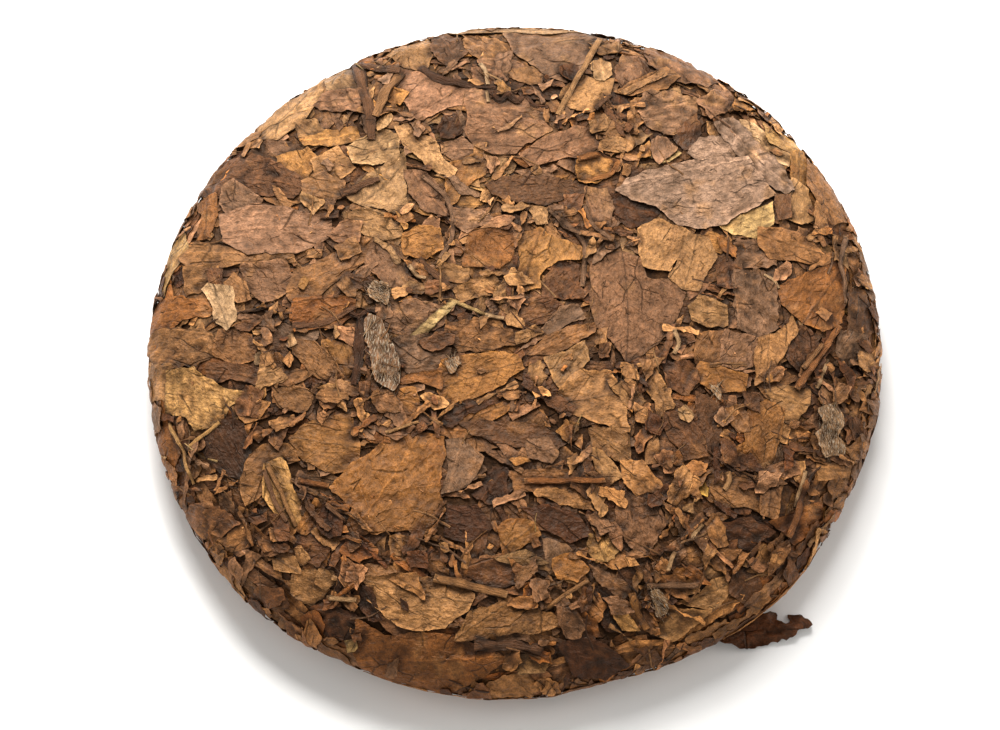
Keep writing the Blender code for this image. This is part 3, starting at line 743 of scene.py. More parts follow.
# the leaves that stand out on the crown, lowest first: tone, look, corners as
# seen from the front in mm from the middle, and for some the two ends of the rib
crownLeaves = [
    # back left
    ("tan", "broad", [(-70, 70), (-61, 78), (-52, 85), (-52, 78), (-58, 71), (-64, 66), (-69, 66)]),
    ("paleTan", "flat", [(-52, 85), (-47, 88), (-42, 88), (-41, 82), (-46, 80), (-51, 80)]),
    ("mauve", "crumpled", [(-51, 80), (-41, 81), (-42, 74), (-50, 74), (-54, 76)]),
    ("tan", "crumpled", [(-60, 71), (-54, 72), (-49, 66), (-57, 63)]),
    ("gold", "broad", [(-58, 66), (-51, 69), (-43, 70), (-42, 66), (-47, 64), (-57, 64)]),
    ("mauve", "crumpled", [(-72, 63), (-66, 66), (-60, 66), (-58, 60), (-66, 57), (-72, 58)]),
    ("gold", "broad", [(-65, 61), (-56, 64), (-53, 61), (-55, 57), (-59, 53), (-63, 56)]),
    ("plum", "crumpled", [(-87, 49), (-81, 57), (-73, 62), (-65, 60), (-56, 54), (-60, 49), (-70, 50),
                          (-79, 49)]),
    ("tan", "broad", [(-55, 60), (-48, 64), (-43, 58), (-48, 54), (-54, 56)]),
    ("brown", "broad", [(-58, 54), (-52, 57), (-46, 54), (-46, 50), (-51, 47), (-57, 49)]),
    ("grey", "flat", [(-79, 52), (-76, 54), (-68, 49), (-70, 46), (-77, 44), (-80, 47)]),
    ("brown", "flat", [(-66, 53), (-64, 52), (-60, 46), (-63, 46)]),
    ("rust", "broad", [(-86, 47), (-81, 50), (-80, 44), (-82, 37), (-86, 36), (-85, 42)]),
    ("paleTan", "broad", [(-46, 64), (-37, 69), (-31, 68), (-31, 60), (-38, 58), (-44, 59)],
     ((-46, 61), (-31, 64))),
    ("paleTan", "broad", [(-46, 50), (-38, 57), (-30, 62), (-29, 47), (-31, 44), (-35, 45), (-42, 47)],
     ((-42, 46), (-29, 60))),
    ("paleTan", "flat", [(-38, 73), (-36, 77), (-33, 73), (-34, 70), (-37, 69)]),
    ("tan", "flat", [(-35, 91), (-30, 94), (-24, 95), (-22, 91), (-24, 86), (-30, 88)]),
    # back
    ("plum", "crumpled", [(-22, 96), (-15, 96), (-13, 91), (-17, 88), (-20, 89), (-23, 92)]),
    ("brown", "crumpled", [(-14, 97), (-5, 95), (-1, 91), (-5, 88), (-10, 89), (-14, 93)]),
    ("rosy", "broad", [(-33, 87), (-24, 86), (-14, 82), (-5, 81), (-4, 77), (-15, 76), (-26, 72),
                       (-32, 79)], ((-28, 73), (-12, 83))),
    ("mauve", "broad", [(-14, 80), (-5, 80), (4, 78), (9, 73), (6, 70), (-3, 71), (-13, 71)]),
    ("mauve", "broad", [(-3, 97), (8, 98), (18, 98), (26, 97), (21, 91), (18, 87), (14, 83), (9, 84),
                        (4, 88), (-1, 92)], ((0, 93), (22, 96))),
    ("mauve", "broad", [(-12, 73), (-3, 74), (8, 71), (10, 69), (3, 65), (0, 62), (-6, 62), (-11, 64),
                        (-14, 69)]),
    ("mauve", "flat", [(-10, 89), (-3, 90), (2, 88), (4, 85), (-4, 84), (-8, 86)]),
    ("brown", "broad", [(-2, 86), (4, 87), (8, 85), (7, 82), (1, 83)]),
    ("tan", "broad", [(17, 86), (22, 84), (27, 84), (25, 77), (21, 74), (15, 75), (12, 79)]),
    ("paleTan", "ragged", [(20, 88), (23, 90), (26, 88), (26, 85), (24, 83), (22, 84)]),
    ("mauve", "crumpled", [(29, 91), (34, 90), (41, 84), (40, 80), (33, 79), (28, 82), (27, 87)]),
    ("mauve", "crumpled", [(35, 95), (42, 92), (50, 88), (57, 83), (52, 81), (44, 83), (36, 88)]),
    ("mauve", "broad", [(1, 62), (8, 67), (16, 70), (22, 70), (25, 66), (18, 61), (10, 60), (4, 58)],
     ((2, 61), (24, 69))),
    ("brown", "flat", [(27, 80), (34, 84), (41, 87), (45, 84), (41, 81), (32, 79)]),
    ("mauve", "crumpled", [(35, 80), (44, 80), (50, 78), (49, 72), (43, 67), (37, 69), (33, 74)]),
    ("mauve", "ragged", [(49, 77), (54, 81), (59, 80), (59, 75), (53, 72)]),
    ("mauve", "flat", [(-20, 65), (-14, 67), (-11, 64), (-12, 61), (-17, 60), (-20, 62)]),
    ("amber", "broad", [(-19, 58), (-12, 62), (-6, 61), (-8, 56), (-13, 52), (-17, 47), (-19, 51)]),
    ("paleTan", "broad", [(-33, 70), (-29, 71), (-22, 66), (-19, 60), (-15, 57), (-17, 54), (-23, 57),
                          (-30, 64)]),
    ("mauve", "broad", [(-30, 57), (-24, 56), (-19, 51), (-18, 43), (-24, 44), (-29, 50)]),
    ("black", "crumpled", [(12, 87), (16, 88), (18, 85), (17, 83), (13, 84)]),
    # back right
    ("plum", "crumpled", [(43, 67), (49, 73), (51, 68), (47, 63), (45, 64)]),
    ("olive", "crumpled", [(35, 62), (40, 67), (45, 62), (40, 59)]),
    ("paleMauve", "broad", [(46, 62), (50, 67), (56, 67), (60, 63), (59, 60), (50, 60)]),
    ("cream", "broad", [(61, 72), (68, 68), (75, 61), (74, 58), (68, 61), (61, 67)]),
    ("ochre", "flat", [(67, 71), (73, 68), (79, 63), (76, 61), (69, 65)]),
    ("gold", "flat", [(74, 62), (78, 62), (80, 55), (78, 50), (75, 54)]),
    ("tan", "flat", [(75, 55), (79, 52), (82, 43), (78, 41), (73, 43), (73, 48)]),
    ("brown", "broad", [(79, 60), (83, 56), (88, 49), (90, 42), (86, 41), (82, 47), (79, 53)]),
    ("paleMauve", "crumpled", [(54, 71), (59, 73), (66, 65), (73, 58), (76, 51), (73, 50), (65, 55),
                               (60, 62), (56, 67)], ((56, 71), (74, 52))),
    ("olive", "broad", [(55, 41), (62, 44), (70, 48), (70, 41), (65, 37), (59, 38)]),
    ("black", "crumpled", [(24, 50), (30, 51), (40, 48), (38, 42), (31, 40), (26, 44)]),
    ("paleMauve", "broad", [(27, 51), (30, 55), (40, 58), (50, 60), (63, 61), (66, 56), (71, 50), (65, 46),
                            (57, 41), (50, 40), (44, 41), (38, 46)], ((30, 53), (63, 60))),
    ("mauve", "broad", [(19, 52), (25, 52), (27, 46), (26, 40), (20, 42)]),
    ("plum", "flat", [(70, 50), (75, 50), (75, 43), (71, 42)]),
    ("plum", "broad", [(-9, 53), (0, 56), (10, 55), (20, 54), (19, 50), (8, 47), (0, 48), (-6, 50)]),
    ("gold", "crumpled", [(17, 60), (22, 62), (28, 60), (27, 56), (22, 53), (17, 54)]),
    # middle
    ("gold", "broad", [(-31, 38), (-26, 41), (-20, 40), (-19, 34), (-24, 31), (-30, 32)]),
    ("tan", "flat", [(-20, 30), (-12, 29), (-13, 24), (-20, 25)]),
    ("tan", "crumpled", [(-17, 22), (-12, 25), (-5, 26), (-3, 21), (-9, 20), (-15, 18)]),
    ("rust", "flat", [(-12, 40), (0, 40), (0, 32), (-4, 28), (-14, 29)], ((-9, 40), (-1, 32))),
    ("mauve", "flat", [(-17, 46), (-9, 45), (-4, 42), (-10, 40), (-13, 38), (-17, 41)]),
    ("paleTan", "flat", [(4, 46), (9, 46), (9, 41), (6, 41)]),
    ("plum", "flat", [(13, 50), (19, 50), (18, 45), (13, 44)]),
    ("plum", "crumpled", [(12, 31), (18, 30), (18, 20), (13, 19), (7, 20), (8, 26)]),
    ("gold", "broad", [(1, 38), (7, 40), (12, 37), (18, 35), (18, 31), (12, 30), (7, 26), (7, 22), (1, 21)],
     ((7, 40), (2, 23))),
    ("plum", "flat", [(1, 19), (8, 20), (14, 18), (10, 13), (1, 11)]),
    ("mauve", "crumpled", [(-35, 20), (-27, 19), (-19, 17), (-18, 12), (-27, 8), (-35, 10)]),
    ("olive", "flat", [(-29, 8), (-24, 13), (-18, 18), (-15, 19), (-18, 15), (-24, 9)]),
    ("brown", "crumpled", [(-19, 13), (-10, 13), (-1, 10), (0, 6), (-8, 4), (-15, 4), (-19, 8)]),
    ("grey", "crumpled", [(-33, 8), (-24, 9), (-17, 5), (-19, -1), (-28, -3), (-34, 1)]),
    ("grey", "flat", [(1, 4), (6, 9), (12, 17), (17, 18), (19, 14), (15, 12), (8, 8)]),
    ("plum", "flat", [(18, 1), (26, 1), (27, -3), (18, -4)]),
    ("brown", "broad", [(3, 3), (8, 9), (14, 11), (23, 13), (22, 10), (17, 6), (10, 3)],
     ((4, 3), (22, 12))),
    ("tan", "broad", [(8, 2), (14, 4), (19, 7), (20, 1), (17, -3), (13, -8), (10, -4)]),
    ("mauve", "broad", [(22, 33), (28, 34), (34, 31), (36, 26), (42, 25), (47, 21), (44, 14), (40, 7),
                        (35, 3), (30, 0), (27, 6), (22, 12), (20, 18), (20, 26)], ((30, 32), (31, 2))),
    ("tan", "broad", [(33, 40), (39, 43), (48, 39), (44, 31), (42, 27), (35, 29), (33, 34)]),
    ("tan", "broad", [(47, 39), (53, 36), (55, 31), (52, 27), (50, 21), (45, 22), (42, 26), (44, 31)]),
    ("tan", "ragged", [(4, -1), (7, 1), (8, -4), (5, -8), (3, -5)]),
    ("gold", "broad", [(-20, 1), (-14, 3), (-5, 4), (1, 3), (3, -1), (-2, -5), (-9, -9), (-17, -12),
                       (-21, -8)]),
    ("rust", "flat", [(-35, -6), (-28, -2), (-20, -1), (-20, -7), (-26, -5)]),
    ("tan", "broad", [(17, -2), (26, -2), (28, -5), (30, -13), (31, -20), (25, -18), (17, -15), (12, -13),
                      (11, -8)], ((13, -11), (29, -8))),
    # left
    ("ochre", "flat", [(-94, 38), (-90, 41), (-88, 34), (-92, 28), (-95, 20), (-97, 23)]),
    ("brown", "broad", [(-91, 31), (-86, 36), (-78, 35), (-60, 34), (-59, 30), (-65, 29), (-78, 29),
                        (-88, 28)], ((-89, 32), (-62, 32))),
    ("brown", "crumpled", [(-90, 29), (-80, 29), (-80, 22), (-89, 21)], ((-90, 25), (-80, 25))),
    ("mauve", "broad", [(-74, 29), (-62, 31), (-59, 24), (-63, 20), (-68, 18), (-73, 22)]),
    ("rosy", "broad", [(-80, 44), (-70, 47), (-58, 46), (-50, 43), (-49, 38), (-59, 33), (-72, 32),
                       (-79, 36)], ((-77, 40), (-52, 41))),
    ("plum", "flat", [(-83, 28), (-79, 28), (-79, 22), (-83, 23)]),
    ("brown", "flat", [(-79, 24), (-76, 27), (-73, 24), (-71, 19), (-75, 18), (-78, 21)]),
    ("rust", "broad", [(-98, 18), (-90, 20), (-83, 18), (-81, 15), (-90, 13), (-95, 9), (-99, 9)]),
    ("brown", "crumpled", [(-99, 8), (-91, 11), (-82, 9), (-80, 4), (-86, 0), (-97, -1), (-100, 3)]),
    ("brown", "broad", [(-80, 10), (-71, 9), (-69, 2), (-76, -1), (-82, 3)]),
    ("brown", "broad", [(-60, 28), (-52, 31), (-43, 38), (-38, 37), (-41, 30), (-50, 23), (-58, 16),
                        (-62, 20)], ((-60, 21), (-39, 36))),
    ("rust", "broad", [(-60, 19), (-50, 21), (-43, 19), (-43, 15), (-49, 11), (-57, 10), (-61, 13)]),
    ("amber", "flat", [(-52, 7), (-45, 7), (-43, 0), (-46, -5), (-52, -1)]),
    ("brown", "flat", [(-60, 8), (-54, 7), (-48, 0), (-46, -5), (-53, -4), (-60, 3)]),
    ("plum", "broad", [(-84, 1), (-73, 0), (-69, -1), (-69, -6), (-77, -4), (-84, -6)]),
    ("brown", "flat", [(-67, -3), (-59, -1), (-54, -3), (-60, -6), (-68, -6)]),
    ("tan", "broad", [(-47, 45), (-40, 46), (-34, 44), (-31, 38), (-36, 36), (-46, 41)]),
    ("mauve", "broad", [(-39, 36), (-33, 35), (-30, 28), (-29, 20), (-35, 23), (-41, 30)]),
    ("mauve", "flat", [(-51, 38), (-47, 42), (-41, 42), (-42, 36), (-46, 35)]),
    ("brown", "crumpled", [(-49, 35), (-43, 38), (-41, 33), (-47, 30)]),
    ("paleTan", "flat", [(-101, -1), (-93, 0), (-88, -5), (-92, -10), (-99, -11)]),
    ("ochre", "crumpled", [(-94, -2), (-87, -1), (-80, -6), (-73, -8), (-77, -13), (-80, -18), (-87, -20),
                           (-89, -15), (-95, -14)]),
    ("black", "broad", [(-85, -21), (-78, -15), (-73, -17), (-71, -25), (-72, -34), (-79, -33),
                        (-84, -28)]),
    ("rust", "flat", [(-98, -19), (-92, -18), (-90, -25), (-93, -31), (-97, -26)]),
    ("brown", "flat", [(-66, -7), (-58, -6), (-54, -9), (-57, -14), (-64, -13)]),
    ("tan", "flat", [(-75, -15), (-69, -10), (-66, -11), (-69, -16), (-73, -17)]),
    ("amber", "broad", [(-58, -18), (-50, -15), (-44, -14), (-42, -22), (-42, -30), (-49, -32), (-57, -28),
                        (-62, -23)]),
    ("brown", "broad", [(-72, -26), (-66, -22), (-60, -24), (-58, -28), (-65, -30), (-68, -38), (-73, -42),
                        (-74, -33)]),
    ("ochre", "broad", [(-68, -29), (-63, -27), (-58, -40), (-58, -49), (-63, -46), (-68, -39)],
     ((-67, -30), (-60, -48))),
    ("mauve", "flat", [(-88, -41), (-82, -40), (-79, -48), (-84, -51), (-89, -45)]),
    # front
    ("gold", "flat", [(-36, -7), (-27, -7), (-26, -12), (-29, -16), (-36, -12)]),
    ("gold", "flat", [(-15, -15), (-5, -11), (1, -9), (-1, -13), (-7, -17), (-14, -18)]),
    ("black", "crumpled", [(-18, -12), (-12, -10), (-5, -11), (-8, -13), (-14, -15), (-17, -18),
                           (-19, -17)]),
    ("plum", "broad", [(-15, -17), (-3, -16), (8, -18), (15, -22), (10, -26), (2, -24), (-5, -23),
                       (-12, -21)]),
    ("mauve", "flat", [(3, -22), (9, -21), (12, -26), (10, -29), (4, -27)]),
    ("tan", "broad", [(20, -19), (27, -18), (31, -21), (32, -28), (27, -28), (21, -24)]),
    ("amber", "broad", [(-45, -30), (-40, -26), (-33, -21), (-26, -20), (-19, -21), (-19, -28), (-20, -37),
                        (-19, -43), (-25, -49), (-33, -49), (-42, -50), (-46, -48), (-44, -42), (-50, -36)],
     ((-43, -49), (-25, -20))),
    ("black", "crumpled", [(-12, -38), (-6, -30), (-2, -30), (-2, -38), (-7, -41)]),
    ("grey", "flat", [(-19, -22), (-15, -21), (-8, -27), (-10, -32), (-13, -36), (-20, -38), (-18, -30)],
     ((-14, -20), (-18, -38))),
    ("tan", "broad", [(28, -28), (35, -28), (40, -36), (33, -38), (29, -35)]),
    ("paleTan", "flat", [(20, -24), (24, -25), (27, -29), (29, -33), (26, -35), (22, -31)]),
    ("brown", "crumpled", [(-2, -31), (8, -30), (18, -31), (20, -36), (8, -37), (0, -37)]),
    ("tan", "ragged", [(4, -37), (16, -36), (20, -39), (22, -43), (12, -41)]),
    ("black", "broad", [(2, -42), (8, -41), (18, -44), (21, -50), (15, -52), (8, -48)]),
    ("black", "broad", [(-18, -41), (-10, -41), (-6, -48), (-12, -52), (-19, -50)]),
    ("amber", "broad", [(-5, -48), (-1, -45), (5, -46), (7, -50), (2, -54), (-3, -57)]),
    ("ochre", "crumpled", [(20, -50), (25, -49), (28, -52), (27, -57), (22, -58), (20, -55)]),
    ("tan", "crumpled", [(-34, -50), (-27, -50), (-24, -54), (-28, -58), (-34, -56)]),
    ("plum", "broad", [(-60, -50), (-52, -48), (-49, -53), (-53, -59), (-60, -57)]),
    ("paleTan", "flat", [(-60, -54), (-58, -53), (-55, -57), (-58, -59)]),
    ("plum", "broad", [(-12, -57), (0, -57), (2, -63), (-6, -66), (-13, -62)]),
    ("paleTan", "flat", [(-6, -57), (3, -54), (9, -58), (3, -60)]),
    ("amber", "broad", [(10, -57), (15, -55), (20, -60), (17, -64), (11, -63)]),
    ("mauve", "crumpled", [(28, -38), (38, -39), (42, -46), (36, -56), (30, -52), (27, -45)]),
    # right
    ("grey", "crumpled", [(59, 36), (65, 37), (70, 34), (71, 29), (60, 28)]),
    ("plum", "crumpled", [(54, 29), (58, 32), (61, 28), (60, 22), (55, 23)]),
    ("brown", "broad", [(66, 40), (72, 40), (80, 37), (84, 32), (81, 29), (74, 31), (69, 31), (66, 35)]),
    ("tan", "crumpled", [(47, 17), (50, 20), (57, 17), (58, 11), (52, 11), (48, 13)]),
    ("rust", "broad", [(71, 23), (79, 27), (85, 30), (90, 35), (90, 22), (89, 12), (83, 10), (77, 13),
                       (72, 18)]),
    ("grey", "crumpled", [(59, 28), (70, 27), (71, 18), (71, 11), (67, 8), (60, 10), (59, 18)]),
    ("brown", "broad", [(49, 9), (57, 10), (57, 2), (52, -3), (49, 1)]),
    ("plum", "crumpled", [(74, 12), (80, 10), (83, 5), (77, -2), (73, 2)]),
    ("grey", "broad", [(57, 10), (62, 9), (66, 8), (66, 1), (61, -2), (55, 0)]),
    ("tan", "broad", [(66, 8), (71, 9), (75, 15), (77, 10), (73, 3), (68, -4), (65, -6), (65, 1)],
     ((69, 9), (68, -5))),
    ("plum", "crumpled", [(90, 21), (95, 20), (98, 11), (95, 7), (90, 9)]),
    ("grey", "crumpled", [(88, 10), (95, 9), (95, 2), (90, -1), (87, 4)]),
    ("gold", "broad", [(50, 1), (57, -1), (63, -3), (63, -8), (54, -8), (49, -4)]),
    ("plum", "crumpled", [(40, 1), (47, 1), (50, -4), (47, -9), (41, -7)]),
    ("tan", "ragged", [(35, 1), (38, -1), (42, -7), (44, -12), (39, -15), (36, -8)]),
    ("plum", "broad", [(49, -8), (55, -11), (57, -20), (54, -27), (49, -20)]),
    ("plum", "broad", [(40, -14), (47, -15), (51, -21), (53, -27), (46, -28), (41, -20)]),
    ("tan", "flat", [(36, -22), (39, -21), (39, -28), (35, -30)]),
    ("tan", "broad", [(67, -7), (72, -6), (80, -7), (80, -12), (75, -18), (71, -15), (69, -10)]),
    ("amber", "flat", [(63, -13), (68, -10), (73, -13), (72, -20), (70, -28), (65, -31), (62, -27),
                       (62, -20)]),
    ("brown", "broad", [(52, -32), (60, -31), (66, -34), (72, -38), (71, -45), (62, -42), (55, -42),
                        (53, -37)], ((53, -34), (71, -41))),
    ("rust", "crumpled", [(69, -46), (78, -42), (83, -40), (84, -46), (76, -53)]),
    ("black", "crumpled", [(56, -46), (64, -45), (71, -49), (64, -54), (56, -52)]),
    # front edge
    ("tan", "flat", [(-60, -61), (-54, -60), (-50, -66), (-55, -71), (-61, -67)]),
    ("paleTan", "flat", [(-53, -60), (-49, -60), (-48, -64), (-51, -66), (-54, -64)]),
    ("black", "crumpled", [(-56, -71), (-49, -70), (-43, -74), (-41, -80), (-46, -81), (-52, -79)]),
    ("rust", "flat", [(-58, -74), (-54, -72), (-51, -76), (-52, -80), (-56, -80)]),
    ("rust", "broad", [(-43, -74), (-35, -79), (-22, -78), (-10, -82), (-2, -86), (-6, -90), (-15, -95),
                       (-18, -97), (-26, -96), (-35, -94), (-41, -90), (-44, -82)],
     ((-38, -87), (-3, -86))),
    ("paleTan", "broad", [(-43, -62), (-35, -61), (-22, -62), (-15, -64), (-11, -67), (-13, -72),
                          (-19, -77), (-27, -78), (-32, -77), (-35, -74), (-40, -69), (-40, -65)],
     ((-40, -64), (-13, -70))),
    ("tan", "broad", [(-17, -81), (-12, -72), (-4, -69), (2, -70), (10, -73), (12, -76), (5, -79),
                      (-5, -79), (-14, -81)], ((-17, -81), (-1, -69))),
    ("rust", "crumpled", [(11, -71), (17, -70), (22, -75), (24, -80), (18, -80), (13, -76)]),
    ("ochre", "flat", [(26, -72), (31, -73), (34, -78), (29, -78)]),
    ("black", "crumpled", [(11, -82), (20, -79), (27, -84), (31, -88), (25, -92), (17, -92), (14, -87)]),
    ("tan", "crumpled", [(-10, -95), (-4, -91), (3, -90), (7, -95), (4, -98), (-6, -98)]),
    ("paleTan", "flat", [(0, -85), (5, -85), (10, -86), (8, -90), (1, -91)]),
    ("paleTan", "broad", [(44, -69), (50, -67), (53, -63), (57, -62), (58, -66), (55, -71), (47, -71)]),
    ("paleTan", "broad", [(37, -79), (41, -72), (48, -71), (53, -72), (50, -76), (43, -81)]),
    ("plum", "flat", [(59, -61), (65, -59), (67, -66), (62, -70), (58, -67)]),
    ("brown", "flat", [(-44, -61.5), (-40, -58), (-33, -59), (-31.5, -61), (-38, -62.5)]),
    ("grey", "crumpled", [(20, -58.5), (24, -60), (31, -64), (35, -68), (33, -70), (27, -67), (21, -62)],
     ((20, -59), (34, -69))),
    ("grey", "crumpled", [(23.5, -68), (28, -67.5), (33, -70), (32, -73), (26, -73)],
     ((24, -70), (33, -71))),
    ("mauve", "broad", [(11, -69), (14, -68), (20, -77), (18, -80), (14, -80), (12, -75)],
     ((12, -68), (20, -78))),
    ("tan", "flat", [(82, -27), (89, -28), (90, -33), (82, -34)]),
    ("plum", "crumpled", [(-27, 6), (-20, 10), (-16, 9), (-17, 6), (-22, 4)]),
    ("black", "crumpled", [(-21, 70), (-19, 73), (-16, 73), (-14, 69), (-16, 66), (-20, 66)],
     ((-20, 67), (-16, 73))),
    ("plum", "crumpled", [(-28, -49), (-26, -46), (-24, -48), (-26, -53), (-30, -56), (-31, -54)],
     ((-25, -47), (-30, -55))),
    ("plum", "crumpled", [(4, -50.5), (6.5, -50.5), (7, -53), (5, -54)]),
    # along the edge, left and right of the front
    ("mauve", "flat", [(-75, -59), (-73, -58), (-62, -66), (-61, -69), (-64, -69)]),
    ("brown", "flat", [(-76, -62), (-74, -61), (-66, -68), (-64, -71), (-68, -70)]),
    ("mauve", "flat", [(-74, -56), (-71, -55), (-63, -61), (-62, -64), (-66, -62)]),
    ("plum", "crumpled", [(-67, -69), (-63, -67), (-61, -70), (-63, -72.5), (-66, -71.5)]),
    ("tan", "flat", [(-66, -54), (-59, -56), (-58, -61), (-65, -60)]),
    ("plum", "crumpled", [(48, -82), (60, -77), (72, -68), (82, -59), (83, -61), (74, -70), (62, -79),
                          (50, -84)]),
    ("brown", "ragged", [(53, -78.6), (62, -73), (69, -67), (69.5, -69), (62, -75), (54, -80)]),
    ("mauve", "crumpled", [(62, -70), (70, -63), (77, -56), (78, -58), (71, -65), (63, -72)]),
    ("tan", "ragged", [(46, -79.5), (52, -77.5), (57, -74), (57, -76), (52, -79.5), (47, -81)]),
    ("plum", "ragged", [(71, -60), (78, -51), (82, -45), (83, -47), (78, -55), (72, -62)]),
    ("paleTan", "flat", [(-21, 98), (-10, 99.3), (5, 99.8), (18, 98.8), (22, 97.3), (10, 97), (-5, 97.2),
                         (-15, 96.6)], ((-21, 97.5), (22, 97.8))),
    ("brown", "flat", [(28, 80), (34, 83), (40, 86), (41, 84.5), (35, 81.5), (30, 78.8)]),
    ("olive", "crumpled", [(-46, -81), (-43, -80), (-42, -83), (-45, -84)]),
    ("plum", "ragged", [(-44, -79), (-41.5, -78.5), (-41, -81), (-43, -82)]),
    ("brown", "crumpled", [(-3, -85), (1, -83), (2, -87), (-1, -90), (-4, -89)]),
    ("black", "flat", [(-20, -95), (-18, -95), (-17, -97), (-20, -97)]),
    ("black", "crumpled", [(53.6, -24), (55.6, -24), (56, -34), (53.8, -35)]),
    ("black", "flat", [(-31, -68.5), (-29.5, -69.5), (-29, -72), (-30.3, -71)]),
    # small bright chips on top
    ("cream", "flat", [(-49.2, -61.6), (-48.1, -61.8), (-48.2, -63), (-49.3, -62.9)]),
    ("paleTan", "flat", [(-38, 37), (-33.5, 34.5), (-31, 30), (-32, 29.5), (-34.5, 33.5), (-38, 36)]),
    ("cream", "flat", [(-85, 22), (-83, 24), (-76, 23), (-76, 19), (-75, 13), (-78, 10), (-81, 13),
                       (-82, 17)]),
    ("cream", "flat", [(-62, 8), (-60, 10), (-59, 6), (-61, 5)]),
    ("cream", "flat", [(-70, 3), (-68, 4), (-67, 1), (-70, 0)]),
    ("gold", "flat", [(-59, 23), (-57, 26), (-56, 25), (-57, 22)]),
    ("brown", "flat", [(81, 15), (83, 17), (86, 15), (84, 12)]),
    ("paleTan", "flat", [(44, -13), (46, -12), (49, -15), (47, -17), (45, -16)]),
    ("yellow", "crumpled", [(49.6, -36), (51, -33.2), (52.4, -36), (52, -38.6), (50.6, -38)]),
    ("cream", "flat", [(-96, -26), (-94, -27), (-95, -30), (-97, -29)]),
]

# stems and rolled leaves: sort, tone, radius, and the path as seen from the front
crownStems = [
    ("roll", "plum", 1.7, [(-43, 88), (-41, 82), (-39, 74), (-39, 66)]),
    ("roll", "brown", 1.6, [(-31, 86), (-35, 80), (-38, 73)]),
    ("roll", "plum", 1.5, [(-42, 88), (-37, 87), (-31, 86)]),
    ("roll", "black", 1.25, [(-26, 87), (-21, 84), (-14, 82.5), (-5, 81)]),
    ("roll", "black", 0.9, [(-6, 79.5), (-4, 77), (-1.5, 79.6), (1, 76.8), (2.5, 79), (5, 75.6),
                            (9, 75.2)]),
    ("stem", "cream", 0.9, [(-9.5, 88), (-8, 86), (-7.3, 82)]),
    ("stem", "cream", 0.7, [(-7.6, 80.5), (-7.2, 77)]),
    ("stem", "tan", 1.1, [(23, 95), (18, 86), (11.5, 73)]),
    ("stem", "plum", 0.8, [(22, 75), (26, 79)]),
    ("roll", "plum", 1.2, [(-47, 50), (-42, 52.5), (-36.5, 54.5)]),
    ("stem", "grey", 0.9, [(-25, 55), (-19, 50), (-16.7, 43), (-17, 37), (-20.5, 31)]),
    ("stem", "cream", 0.8, [(-28.5, 29), (-26.5, 26), (-24, 25.5)]),
    ("roll", "plum", 1.0, [(-26, 31), (-22, 27), (-18, 23)]),
    ("stem", "grey", 1.0, [(12, 43), (16.5, 39), (19, 35), (18.3, 23)]),
    ("stem", "grey", 0.8, [(19, 47), (21, 41), (26, 36)]),
    ("stem", "grey", 0.8, [(9, 46), (13, 41), (18, 38)]),
    ("stem", "olive", 0.8, [(-18, 19), (-13, 17), (-8, 14.8)]),
    ("stem", "cream", 0.8, [(-8, 14.5), (-3, 13.6)]),
    ("roll", "rust", 0.9, [(17, 60), (23, 62), (28.5, 59.5), (26, 56), (20, 54)]),
    ("stem", "grey", 1.1, [(89.5, 37), (88.3, 30), (89.8, 24), (89.5, 18)]),
    ("stem", "rust", 1.3, [(76, -7), (82, 2), (88, 11.5)]),
    ("stem", "brown", 0.9, [(78, -1), (83.5, 6)]),
    ("stem", "cream", 0.7, [(82, -7), (85, 2)]),
    ("stem", "cream", 0.6, [(67.5, 26.5), (70, 25), (71.6, 22.5)]),
    ("stem", "cream", 0.8, [(43, 10), (44.4, 6), (43, 3)]),
    ("roll", "black", 1.5, [(-41.5, 15), (-42, 3), (-43.5, -6)]),
    ("roll", "black", 0.7, [(-46, 16), (-42.5, 14), (-39.5, 16.5), (-37.5, 15)]),
    ("roll", "plum", 0.9, [(-60, 11), (-50, 12.5), (-43, 17)]),
    ("stem", "rust", 1.2, [(2.5, -34.2), (13, -34), (24.5, -34)]),
    ("stem", "rust", 1.1, [(-58.5, -34), (-50.5, -35.6)]),
    ("stem", "tan", 0.8, [(-67, -29.5), (-63, -38), (-59.5, -47.5)]),
    ("stem", "mauve", 0.8, [(-68, -31), (-65, -40), (-62, -46)]),
    ("stem", "mauve", 0.7, [(-51, -41), (-45.5, -46)]),
    ("stem", "paleTan", 0.6, [(-35, -19.5), (-26, -17)]),
    ("stem", "ochre", 0.7, [(-94, -17), (-90, -25), (-87, -35)]),
    ("stem", "ochre", 0.7, [(-80, -17), (-88, -24)]),
    ("stem", "rust", 1.4, [(79, -33), (77, -42), (74, -50.5)]),
    ("stem", "cream", 0.7, [(78.6, -31), (76.6, -38), (75.8, -42)]),
    ("stem", "tan", 1.5, [(-22, -62.5), (-12, -65), (-2, -67.6)]),
    ("stem", "cream", 0.9, [(-51, -68.5), (-43, -69.2)]),
    ("roll", "plum", 1.6, [(-11, -82), (0, -82), (8, -83.6)]),
    ("stem", "gold", 1.4, [(31.5, -67), (33, -72), (35.5, -77.5)]),
    ("stem", "grey", 1.1, [(36, -65), (50, -64.5)]),
    ("stem", "tan", 0.8, [(20, -63), (14, -67), (8, -72)]),
    ("stem", "cream", 0.75, [(41.6, -60.4), (42.4, -57.4), (43.4, -55)]),
    ("stem", "cream", 0.75, [(47.8, -51.2), (49, -49), (50.8, -46.6)]),
    ("stem", "paleTan", 1.0, [(57.4, -31.2), (58.2, -33.5), (56.6, -36.6)]),
]

